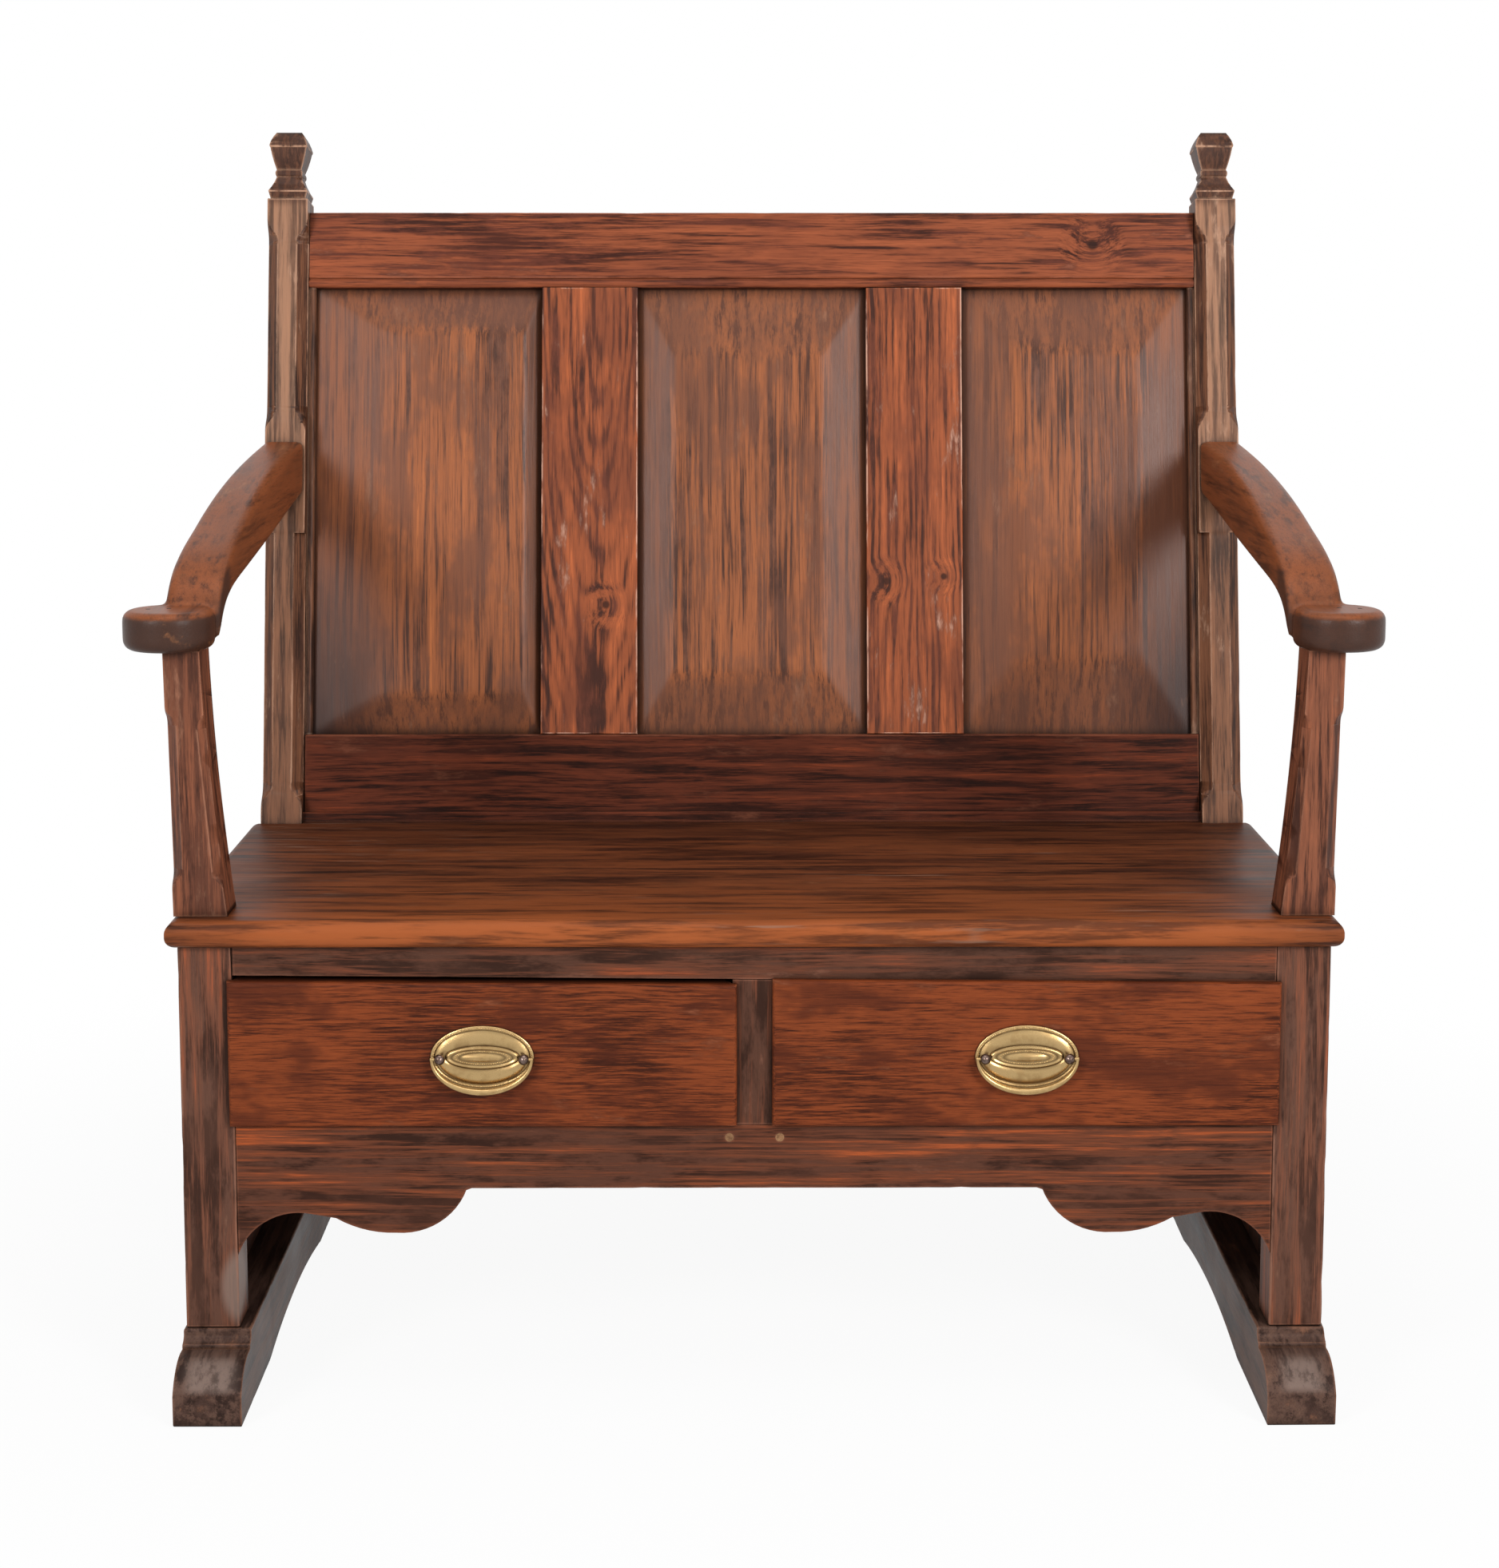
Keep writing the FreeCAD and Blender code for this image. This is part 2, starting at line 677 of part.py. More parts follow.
def drawer_runners():
    """Runners with the drawer guides on them: an upside-down T between the drawers, an L at each end."""
    low = f"{APRON_TOP} - runner_height"
    high = f"{APRON_TOP} + guide_height"
    half = f"({DIVIDER_HALF} + runner_width)"
    centre = new_body("drawer_runner_centre")
    section = [
        (f"0 - {half}", low),
        (half, low),
        (half, APRON_TOP),
        (DIVIDER_HALF, APRON_TOP),
        (DIVIDER_HALF, high),
        (f"0 - {DIVIDER_HALF}", high),
        (f"0 - {DIVIDER_HALF}", APRON_TOP),
        (f"0 - {half}", APRON_TOP),
    ]
    slab(centre, "XZ", "apron_thickness", REAR_BOARD_FRONT, section)
    room = f"({DIVIDER_HALF} + cut_past)"
    behind_divider = rectangle(f"0 - {room}", room, APRON_TOP, f"{high} + cut_past")
    slab(centre, "XZ", "apron_thickness", "rail_depth", behind_divider, cut=True)
    hole_end = "apron_thickness + peg_grip + tenon_end_gap"
    for side in ("", "0 - "):
        rod(centre, "XZ", "apron_thickness", hole_end, f"{side}peg_spacing / 2", f"{APRON_TOP} - peg_drop",
            "peg_radius + joint_clearance / 3", cut=True)
    keep(centre, "drawer_runner_centre")
    end = new_body("drawer_runner_right")
    section = [
        (f"{STILE_IN} - runner_width", low),
        (END_BOARD_IN, low),
        (END_BOARD_IN, high),
        (STILE_IN, high),
        (STILE_IN, APRON_TOP),
        (f"{STILE_IN} - runner_width", APRON_TOP),
    ]
    slab(end, "XZ", "stile_depth", "seat_depth", section)
    twin(keep(end, "drawer_runner_right"), "drawer_runner_left")


def runner_pegs():
    """Two pegs that go through the apron into the end of the centre runner."""
    pegs = []
    for side in ("", "0 - "):
        peg = new_body("runner_peg")
        rod(peg, "XZ", "0", "apron_thickness + peg_grip", f"{side}peg_spacing / 2", f"{APRON_TOP} - peg_drop",
            "peg_radius")
        pegs.append(peg)
    group("runner_pegs", pegs)


def kickers():
    """Strips under the seat that keep the drawers from tipping as they are drawn out."""
    low = f"{BOX_TOP} + kicker_gap"
    half = f"({DIVIDER_HALF} + runner_width)"
    centre = new_body("kicker_centre")
    slab(centre, "XZ", "rail_depth", REAR_BOARD_FRONT, rectangle(f"0 - {half}", half, low, SEAT_UNDER))
    keep(centre, "kicker_centre")
    end = new_body("kicker_right")
    section = rectangle(f"{STILE_IN} - runner_width", END_BOARD_IN, low, SEAT_UNDER)
    slab(end, "XZ", "stile_depth", "seat_depth", section)
    twin(keep(end, "kicker_right"), "kicker_left")


def rear_board():
    body = new_body("rear_board")
    reach = f"({POST_IN} + tongue_length - joint_clearance)"
    outline = rectangle(f"0 - {reach}", reach, REAR_BOARD_FRONT, REAR_BOARD_BACK)
    slab(body, "XY", "rear_board_bottom", SEAT_UNDER, outline)
    keep(body, "rear_board")


def support_seat_tenon():
    """Left, right, front and rear of the tenon that an arm support holds in the seat."""
    left = f"({SUPPORT_FOOT_MIDDLE} - tenon_thickness * 3 / 4)"
    right = f"({SUPPORT_FOOT_MIDDLE} + tenon_thickness * 3 / 4)"
    rear = "(support_setback + support_depth - 2 * tenon_shoulder)"
    return left, right, "(support_setback + tenon_shoulder)", rear


def seat_board():
    """Seat with a rounded nosing on its front and ends, notched round the rear posts."""
    body = new_body("seat_board")
    side = "(base_width / 2 + seat_overhang)"
    outline = [
        (f"0 - {side}", "0 - nosing_projection"),
        (side, "0 - nosing_projection"),
        (side, "seat_depth"),
        (POST_IN, "seat_depth"),
        (POST_IN, REAR_BOARD_BACK),
        (f"0 - {POST_IN}", REAR_BOARD_BACK),
        (f"0 - {POST_IN}", "seat_depth"),
        (f"0 - {side}", "seat_depth"),
    ]
    slab(body, "XY", SEAT_UNDER, "seat_height", outline)
    left, right, front, rear = support_seat_tenon()
    for low, high in ((left, right), (f"0 - {right}", f"0 - {left}")):
        mortise = rectangle(*widened(low, high), *widened(front, rear))
        slab(body, "XY", SEAT_UNDER, "seat_height", mortise, cut=True)

    def on_nosing(edge):
        box = edge.BoundBox
        flat = box.ZLength < 0.01
        front_edge = box.YMax < value("0 - nosing_projection") + 0.01
        end_edge = box.XLength < 0.01 and abs(box.XMin) > value(side) - 0.01
        return flat and (front_edge or end_edge)

    round_edges(body, on_nosing, "nosing_radius")
    keep(body, "seat_board")


def round_edges(body, wanted, radius):
    """Round the edges of a body's tip, drawn in its own frame, that a test picks out."""
    doc.recompute()
    base = body.Tip
    names = [f"Edge{number}" for number, edge in enumerate(base.Shape.Edges, start=1) if wanted(edge)]
    fillet = body.newObject("PartDesign::Fillet", "Fillet")
    fillet.Base = (base, names)
    fillet.setExpression("Radius", bound(radius))


def seat_strip():
    """Narrow strip that covers the joint between the seat and the back."""
    body = new_body("seat_strip", RAKED_FRAME)
    front = "(rail_setback - seat_strip_depth)"
    section = [
        (front, f"{front} * tan(rake_angle)"),
        ("rail_setback", "rail_setback * tan(rake_angle)"),
        ("rail_setback", "seat_strip_height"),
        (f"{front} + seat_strip_depth / 3", "seat_strip_height"),
        (front, "seat_strip_height - seat_strip_depth / 2", "seat_strip_depth / 8"),
    ]
    slab(body, "YZ", f"0 - {POST_IN}", POST_IN, section)
    keep(body, "seat_strip")


def finial_steps():
    """Half width, rise and bulge of each corner of the finial, from its foot to its crown."""
    return [
        ("finial_foot_half", "0"),
        ("finial_flare_half", "finial_flare_rise"),
        ("finial_neck_half", "finial_neck_rise", "0 - finial_flare_hollow"),
        ("finial_neck_half", "finial_bead_rise", "finial_bead_swell"),
        ("finial_bell_half", "finial_bell_rise", "finial_bell_swell"),
        ("finial_brow_half", "finial_bell_rise + finial_fillet"),
        ("finial_brow_half", "finial_crown_rise"),
        ("finial_crown_half", "finial_height", "finial_crown_swell"),
    ]


def finial_side(middle, side, swap):
    """The finial's profile going up on one side of its middle; swap turns each swelling round."""
    corners = []
    for half, rise, *bulge in finial_steps():
        turned = [f"0 - ({bulge[0]})" if swap else bulge[0]] if bulge else []
        corners.append((f"{middle} {side} {half}", f"post_top + {rise}", *turned))
    return corners


def post_shaft():
    """Raked upper part of a rear post: finial shaped alike on four faces, stopped chamfers, mortises."""
    body = new_body("post_shaft", RAKED_FRAME)
    right = finial_side(POST_MIDDLE, "+", False)
    left = backwards(finial_side(POST_MIDDLE, "-", True))
    bottom = [(POST_IN, "post_top"), (POST_IN, "0"), (POST_OUT, "0"), (POST_OUT, "post_top")]
    slab(body, "XZ", "0", "post_depth", bottom + right + left)
    middle = "(post_depth / 2)"
    crown = ("post_top + finial_height + cut_past",)
    front = [("0 - cut_past", "post_top")] + finial_side(middle, "-", True) + [("0 - cut_past", *crown)]
    rear = [("post_depth + cut_past", *crown)] + backwards(finial_side(middle, "+", False))
    rear += [("post_depth + cut_past", "post_top")]
    for waste in (front, rear):
        slab(body, "YZ", f"{POST_IN} - cut_past", f"{POST_OUT} + cut_past", waste, cut=True)
    cut = ("chamfer_width", "chamfer_stop")
    upper = chamfer_outline("upper_chamfer_bottom", "upper_chamfer_top", *cut)
    lower = chamfer_outline("lower_chamfer_bottom", "lower_chamfer_top", *cut, square_top=True)
    for arris, turn in ((POST_IN, LEFT_ARRIS), (POST_OUT, RIGHT_ARRIS)):
        for waste in (upper, lower):
            stopped_chamfer(body, arris, "0", turn, 0, "chamfer_width", waste)
    for front, rear, low, high in (top_rail_tenon(), bottom_rail_tenon()):
        mortise = rectangle(*widened(front, rear), *widened(low, high))
        slab(body, "YZ", POST_IN, f"{POST_IN} + tenon_length + tenon_end_gap", mortise, cut=True)
    groove = rectangle(*widened(TONGUE_FRONT, TONGUE_BACK), "bottom_rail_top - panel_groove_depth",
                       "top_rail_bottom + panel_groove_depth")
    slab(body, "YZ", POST_IN, f"{POST_IN} + panel_groove_depth", groove, cut=True)
    left, right, low, high = arm_tenon()
    mortise = rectangle(*widened(left, right), *widened(low, high))
    slab(body, "XZ", "0", "tenon_length", mortise, cut=True)
    return body


def post_leg():
    """Upright lower part of a rear post."""
    body = new_body("post_leg")
    slab(body, "XY", "foot_height", "seat_height", rectangle(POST_IN, POST_OUT, "seat_depth", POST_BACK))
    foot_tenon(body, leg_tenon())
    end_board_groove(body, "seat_depth", "seat_depth + tongue_length")
    groove = rectangle(POST_IN, f"{POST_IN} + tongue_length", *widened(REAR_BOARD_FRONT, REAR_BOARD_BACK))
    slab(body, "XY", "rear_board_bottom", SEAT_UNDER, groove, cut=True)
    return body


def rear_post():
    post = join("rear_post_right", [post_shaft(), post_leg()])
    twin(keep(post, "rear_post_right"), "rear_post_left")


def top_rail_tenon():
    """Front, rear, low and high of the tenons of the back's top rail."""
    low = "(top_rail_bottom + panel_groove_depth + tenon_shoulder)"
    return TONGUE_FRONT, TONGUE_BACK, low, "(top_rail_top - 2 * tenon_shoulder)"


def bottom_rail_tenon():
    """Front, rear, low and high of the tenons of the back's bottom rail."""
    high = "(bottom_rail_top - panel_groove_depth - tenon_shoulder)"
    return TONGUE_FRONT, TONGUE_BACK, "(4 * tenon_shoulder)", high


def back_rail(label, section, tenon, groove, mortise):
    """A rail of the back: its section, a tenon at each end, the panel groove and two muntin mortises."""
    body = new_body(label, RAKED_FRAME)
    slab(body, "YZ", f"0 - {POST_IN}", POST_IN, section)
    front, rear, low, high = tenon
    end = rectangle(front, rear, low, high)
    slab(body, "YZ", POST_IN, f"{POST_IN} + tenon_length", end)
    slab(body, "YZ", f"0 - {POST_IN} - tenon_length", f"0 - {POST_IN}", end)
    depth = widened(TONGUE_FRONT, TONGUE_BACK)
    slab(body, "YZ", f"0 - {POST_IN}", POST_IN, rectangle(*depth, *groove), cut=True)
    for side in ("", "0 - "):
        middle = f"({side}muntin_spacing / 2)"
        half = "(muntin_width / 2 - 3 * tenon_shoulder)"
        span = widened(f"{middle} - {half}", f"{middle} + {half}")
        slab(body, "XY", *mortise, rectangle(*span, *depth), cut=True)
    keep(body, label)


def back_rails():
    """Top rail with a quirked bead along its lower edge, and bottom rail cut level to stand on the seat."""
    quirk_back = "rail_setback + rail_quirk"
    bead_top = "top_rail_bottom + rail_bead_height"
    section = [
        (quirk_back, "top_rail_bottom", "rail_quirk"),
        (BACK_RAIL_BACK, "top_rail_bottom"),
        (BACK_RAIL_BACK, "top_rail_top"),
        ("rail_setback", "top_rail_top"),
        ("rail_setback", f"{bead_top} + rail_quirk"),
        (quirk_back, f"{bead_top} + rail_quirk / 2"),
        (quirk_back, bead_top),
    ]
    groove = ("top_rail_bottom - cut_past", "top_rail_bottom + panel_groove_depth")
    mortise = ("top_rail_bottom", f"top_rail_bottom + {MUNTIN_REACH} + tenon_end_gap")
    back_rail("back_top_rail", section, top_rail_tenon(), groove, mortise)
    section = [
        ("rail_setback", "rail_setback * tan(rake_angle)"),
        (BACK_RAIL_BACK, f"{BACK_RAIL_BACK} * tan(rake_angle)"),
        (BACK_RAIL_BACK, "bottom_rail_top"),
        ("rail_setback", "bottom_rail_top"),
    ]
    groove = ("bottom_rail_top - panel_groove_depth", "bottom_rail_top + cut_past")
    mortise = (f"bottom_rail_top - {MUNTIN_REACH} - tenon_end_gap", "bottom_rail_top")
    back_rail("back_bottom_rail", section, bottom_rail_tenon(), groove, mortise)


def back_muntin():
    """Upright between two panels, grooved on both edges and tenoned into both rails."""
    body = new_body("back_muntin_right", RAKED_FRAME)
    outline = rectangle(MUNTIN_IN, MUNTIN_OUT, "rail_setback", BACK_RAIL_BACK)
    slab(body, "XY", "bottom_rail_top", "top_rail_bottom", outline)
    tenon = rectangle(f"{MUNTIN_IN} + 3 * tenon_shoulder", f"{MUNTIN_OUT} - 3 * tenon_shoulder",
                      TONGUE_FRONT, TONGUE_BACK)
    slab(body, "XY", f"bottom_rail_top - {MUNTIN_REACH}", f"top_rail_bottom + {MUNTIN_REACH}", tenon)
    depth = widened(TONGUE_FRONT, TONGUE_BACK)
    for low, high in ((MUNTIN_IN, f"{MUNTIN_IN} + panel_groove_depth"),
                      (f"{MUNTIN_OUT} - panel_groove_depth", MUNTIN_OUT)):
        groove = rectangle(low, high, *depth)
        slab(body, "XY", "bottom_rail_top", "top_rail_bottom", groove, cut=True)
    twin(keep(body, "back_muntin_right"), "back_muntin_left")


def back_panel(label, left, right):
    """Fielded panel: flat behind, bevelled to a thin tongue on all four edges in front."""
    body = new_body(label, RAKED_FRAME)
    play = "(panel_groove_depth - 4 * joint_clearance)"
    field = "(rail_setback + panel_setback)"
    x_low, x_high = f"({left} - {play})", f"({right} + {play})"
    z_low, z_high = f"(bottom_rail_top - {play})", f"(top_rail_bottom + {play})"
    slab(body, "XZ", field, TONGUE_BACK, rectangle(x_low, x_high, z_low, z_high))
    above = f"{field} - cut_past"
    upright = [
        (f"{right} - panel_bevel_side", right, f"{x_high} + cut_past"),
        (f"{left} + panel_bevel_side", left, f"{x_low} - cut_past"),
    ]
    for inner, edge, outside in upright:
        bevel = [(inner, above), (inner, field), (edge, TONGUE_FRONT)]
        waste = bevel + [(outside, TONGUE_FRONT), (outside, above)]
        slab(body, "XY", f"{z_low} - cut_past", f"{z_high} + cut_past", waste, cut=True)
    level = [
        ("top_rail_bottom - panel_bevel_top", "top_rail_bottom", f"{z_high} + cut_past"),
        ("bottom_rail_top + panel_bevel_bottom", "bottom_rail_top", f"{z_low} - cut_past"),
    ]
    for inner, edge, outside in level:
        bevel = [(above, inner), (field, inner), (TONGUE_FRONT, edge)]
        waste = bevel + [(TONGUE_FRONT, outside), (above, outside)]
        slab(body, "YZ", f"{x_low} - cut_past", f"{x_high} + cut_past", waste, cut=True)
    keep(body, label)


def back_panels():
    post_side = f"({POST_IN} - bead_width)"
    back_panel("back_panel_centre", f"(0 - {MUNTIN_IN})", MUNTIN_IN)
    back_panel("back_panel_right", MUNTIN_OUT, post_side)
    back_panel("back_panel_left", f"(0 - {post_side})", f"(0 - {MUNTIN_OUT})")


def panel_bead():
    """Slim bead that fills the corner between a post and the outer panel's tongue."""
    body = new_body("panel_bead_right", RAKED_FRAME)
    inner = f"({POST_IN} - bead_width)"
    front = f"({TONGUE_FRONT} - bead_depth)"
    section = [
        (inner, TONGUE_FRONT),
        (inner, f"{front} + bead_depth / 2"),
        (f"{POST_IN} - bead_width / 2", front, "bead_depth / 7"),
        (POST_IN, front),
        (POST_IN, TONGUE_FRONT),
    ]
    slab(body, "XY", "bottom_rail_top", "top_rail_bottom", section)
    twin(keep(body, "panel_bead_right"), "panel_bead_left")


def arm_tenon():
    """Left, right, low and high of the tenon that an arm holds in its post, in the raked frame."""
    middle = f"({ARM_IN} + arm_back_width / 2)"
    low = "((arm_back_height - arm_back_thickness) / cos(rake_angle) + 2 * tenon_shoulder)"
    high = "(arm_back_height / cos(rake_angle) - 2 * tenon_shoulder)"
    return f"({middle} - tenon_thickness / 2)", f"({middle} + tenon_thickness / 2)", low, high


def arm_tenon_piece():
    body = new_body("arm_tenon", RAKED_FRAME)
    left, right, low, high = arm_tenon()
    slab(body, "XZ", "0 - tenon_shoulder", "tenon_length - tenon_end_gap", rectangle(left, right, low, high))
    return body


def rounded_section(sketch, x_low, x_high, y_low, y_high, radius):
    """Draw a rectangle with rounded corners."""
    swell = f"({radius} * (1 - sqrt(2) / 2))"
    draw(sketch, [
        (f"{x_low} + {radius}", y_low, swell),
        (f"{x_high} - {radius}", y_low),
        (x_high, f"{y_low} + {radius}", swell),
        (x_high, f"{y_high} - {radius}"),
        (f"{x_high} - {radius}", y_high, swell),
        (f"{x_low} + {radius}", y_high),
        (x_low, f"{y_high} - {radius}", swell),
        (x_low, f"{y_low} + {radius}"),
    ])


def arm_bar():
    """Arm lofted through rounded sections from the hand grip to the post, its end cut to the post's rake."""
    body = new_body("arm_bar")
    back_top = "(seat_height + arm_back_height)"
    back = f"({post_front(back_top)} + tenon_shoulder)"
    mouth_under = "arm_front_height - grip_thickness + tenon_shoulder"
    stations = [
        ("arm_mouth_distance", mouth_under, "arm_front_height - tenon_shoulder"),
        ("arm_neck_distance", "arm_neck_under", "arm_neck_top"),
        ("arm_rise_distance", "arm_rise_under", "arm_rise_top"),
        ("arm_sweep_distance", "arm_sweep_under", "arm_sweep_top"),
        ("arm_middle_distance", "arm_middle_under", "arm_middle_top"),
        ("arm_shoulder_distance", "arm_shoulder_under", "arm_shoulder_top"),
        (back, "arm_back_height - arm_back_thickness", "arm_back_height"),
    ]
    sketches = []
    for distance, under, top in stations:
        share = f"(({back} - {distance}) / ({back} - arm_mouth_distance))"
        inner = f"({ARM_IN} + arm_splay * {share})"
        outer = f"({inner} + arm_back_width + (arm_neck_width - arm_back_width) * {share})"
        sketch = sketch_on(body, "XZ", f"0 - {distance}")
        heights = f"(seat_height + {under})", f"(seat_height + {top})"
        rounded_section(sketch, inner, outer, *heights, "arm_rounding")
        sketches.append(sketch)
    loft = body.newObject("PartDesign::AdditiveLoft", "Loft")
    loft.Profile = sketches[0]
    loft.Sections = sketches[1:]
    high = f"({back_top} + post_depth)"
    waste = [(post_front(GRIP_UNDER), GRIP_UNDER), (f"{back} + post_depth", GRIP_UNDER),
             (f"{back} + post_depth", high), (post_front(high), high)]
    slab(body, "YZ", POST_IN, f"{POST_OUT} + post_depth", waste, cut=True)
    return body


def arm_grip():
    """Round hand grip turned with a soft edge, with the support's mortise and the nail holes."""
    centre_y = "(grip_radius - grip_projection)"
    body = new_body("arm_grip", (GRIP_CENTRE, f"{FRONT} + {centre_y}", GRIP_UNDER, None))
    swell = "(grip_rounding * (1 - sqrt(2) / 2))"
    profile = [
        ("0", "0"),
        ("grip_radius - grip_rounding", "0"),
        ("grip_radius", "grip_rounding", swell),
        ("grip_radius", "grip_thickness - grip_rounding"),
        ("grip_radius - grip_rounding", "grip_thickness", swell),
        ("0", "grip_thickness"),
    ]
    sketch = sketch_on(body, "XZ", "0")
    draw(sketch, profile)
    turned = body.newObject("PartDesign::Revolution", "Turning")
    turned.Profile = sketch
    turned.ReferenceAxis = (sketch, ["V_Axis"])
    turned.Angle = 360
    left, right, front, rear = support_arm_tenon()
    across = [f"{x} - {GRIP_CENTRE}" for x in widened(left, right)]
    along = [f"{y} - {centre_y}" for y in widened(front, rear)]
    slab(body, "XY", "0", "tenon_length - tenon_end_gap", rectangle(*across, *along), cut=True)
    for x, y in nail_places():
        rod(body, "XY", "grip_thickness - arm_nail_length", "grip_thickness", f"{x} - {GRIP_CENTRE}",
            f"{y} - {centre_y}", "arm_nail_radius + joint_clearance / 3", cut=True)
    return body


def support_arm_tenon():
    """Left, right, front and rear of the tenon that an arm support holds in its arm."""
    half = "(tenon_thickness * 2 / 3)"
    depth = "(support_setback + support_depth / 2)"
    across = f"({SUPPORT_MIDDLE} - {half})", f"({SUPPORT_MIDDLE} + {half})"
    return *across, f"({depth} - {half})", f"({depth} + {half})"


def nail_places():
    """Where the two nails of a hand grip stand."""
    depth = "(support_setback + support_depth / 2)"
    start = f"({SUPPORT_MIDDLE} + tenon_thickness)"
    return [(start, depth), (f"({start} + arm_nail_spacing)", f"{depth} - arm_nail_spacing / 4")]


def arm():
    piece = join("arm_right", [arm_bar(), arm_grip(), arm_tenon_piece()])
    twin(keep(piece, "arm_right"), "arm_left")


def arm_nails():
    """Nails driven into the tops of the hand grips."""
    nails = []
    for side in ("", "0 - "):
        for x, y in nail_places():
            nail = new_body("arm_nail")
            rod(nail, "XY", f"{GRIP_TOP} - arm_nail_length", GRIP_TOP, f"{side}{x}", y, "arm_nail_radius")
            nails.append(nail)
    group("arm_nails", nails)


def arm_support():
    """Tapered support that stands on the seat, with a stopped chamfer on both front arrises."""
    body = new_body("arm_support_right")
    bottom_in = f"({SUPPORT_OUT} - support_bottom_width)"
    top_in = f"({SUPPORT_TOP_OUT} - support_top_width)"
    outline = [
        (bottom_in, "seat_height", "0 - support_hollow"),
        (SUPPORT_OUT, "seat_height"),
        (SUPPORT_TOP_OUT, GRIP_UNDER),
        (top_in, GRIP_UNDER),
    ]
    back = "(support_setback + support_depth)"
    slab(body, "XZ", "support_setback", back, outline)
    left, right, front, rear = support_seat_tenon()
    slab(body, "XY", f"{SEAT_UNDER} + joint_clearance", "seat_height", rectangle(left, right, front, rear))
    left, right, front, rear = support_arm_tenon()
    tenon_top = f"{GRIP_UNDER} + tenon_length - 2 * tenon_end_gap"
    slab(body, "XY", GRIP_UNDER, tenon_top, rectangle(left, right, front, rear))
    waste = chamfer_outline("seat_height + support_chamfer_bottom", "seat_height + support_chamfer_top",
                            "support_chamfer", "support_chamfer_stop")
    for foot, top, turn in ((SUPPORT_OUT, SUPPORT_TOP_OUT, RIGHT_ARRIS), (bottom_in, top_in, LEFT_ARRIS)):
        slope = f"(({top} - {foot}) / ({GRIP_UNDER} - seat_height))"
        at_floor = f"({foot} - seat_height * {slope})"
        lean = -value(f"atan({slope})")
        stopped_chamfer(body, at_floor, "support_setback", turn, lean, "support_chamfer", waste)
    twin(keep(body, "arm_support_right"), "arm_support_left")


def tail_middles():
    """Heights of the middles of the dovetails on a drawer side."""
    pitch = f"drawer_side_height / {TAILS_PER_CORNER}"
    return [f"({BOX_LOW} + {pitch} * {number + 0.5})" for number in range(TAILS_PER_CORNER)]


def tail_outline(middle, slack="0"):
    """One dovetail, seen from the side of the drawer, from its root to its tip and back."""
    root_y = FRONT_INNER_FACE
    tip_y = f"({FRONT_INNER_FACE} - tail_length - {slack})"
    root, tip = f"(tail_root / 2 + {slack})", f"(tail_tip / 2 + {slack})"
    return [(root_y, f"{middle} + {root}"), (tip_y, f"{middle} + {tip}"),
            (tip_y, f"{middle} - {tip}"), (root_y, f"{middle} - {root}")]


def drawer_side(label, outer_x, inner_x, inward):
    """Side of the right-hand drawer; inward is the sign of the way from its outer to its inner face."""
    body = new_body(label)
    outline = [(FRONT_INNER_FACE, BOX_LOW), (DRAWER_END, BOX_LOW), (DRAWER_END, BOX_TOP),
               (FRONT_INNER_FACE, BOX_TOP)]
    for middle in reversed(tail_middles()):
        outline += tail_outline(middle)
    ends = (outer_x, inner_x) if inward > 0 else (inner_x, outer_x)
    slab(body, "YZ", *ends, outline)
    deep = f"{inner_x} - drawer_groove_depth" if inward > 0 else f"{inner_x} + drawer_groove_depth"
    span = (deep, inner_x) if inward > 0 else (inner_x, deep)
    groove = rectangle(f"{FRONT_INNER_FACE} - tail_length", DRAWER_END, *widened(BOTTOM_LOW, BOTTOM_TOP))
    slab(body, "YZ", *span, groove, cut=True)
    dado = rectangle(*widened(DRAWER_BACK_FRONT, f"{DRAWER_BACK_FRONT} + drawer_side_thickness"),
                     f"{BOTTOM_TOP} - joint_clearance", f"{BOX_TOP} + cut_past")
    slab(body, "YZ", *span, dado, cut=True)
    return body


def drawer_sides():
    near = drawer_side("right_drawer_inner_side", BOX_IN, f"({BOX_IN} + drawer_side_thickness)", 1)
    far = drawer_side("right_drawer_outer_side", BOX_OUT, f"({BOX_OUT} - drawer_side_thickness)", -1)
    twin(keep(near, "right_drawer_inner_side"), "left_drawer_inner_side")
    twin(keep(far, "right_drawer_outer_side"), "left_drawer_outer_side")


def drawer_back_and_bottom():
    grip = "(drawer_groove_depth - 2 * joint_clearance)"
    left = f"({BOX_IN} + drawer_side_thickness - {grip})"
    right = f"({BOX_OUT} - drawer_side_thickness + {grip})"
    back = new_body("right_drawer_back")
    outline = rectangle(left, right, BOTTOM_TOP, f"{BOX_TOP} - drawer_back_drop")
    slab(back, "XZ", DRAWER_BACK_FRONT, f"{DRAWER_BACK_FRONT} + drawer_side_thickness", outline)
    twin(keep(back, "right_drawer_back"), "left_drawer_back")
    bottom = new_body("right_drawer_bottom")
    outline = rectangle(left, right, f"{FRONT_INNER_FACE} - {grip}", f"{DRAWER_END} - drawer_back_inset")
    slab(bottom, "XY", BOTTOM_LOW, BOTTOM_TOP, outline)
    twin(keep(bottom, "right_drawer_bottom"), "left_drawer_bottom")


def front_outline(ends, top_gap):
    """A level-bottomed outline whose top keeps a gap below the sloping rail."""
    low, high = ends
    return [(low, BOX_LOW), (high, BOX_LOW), (high, f"{rail_low(high)} - {top_gap}"),
            (low, f"{rail_low(low)} - {top_gap}")]


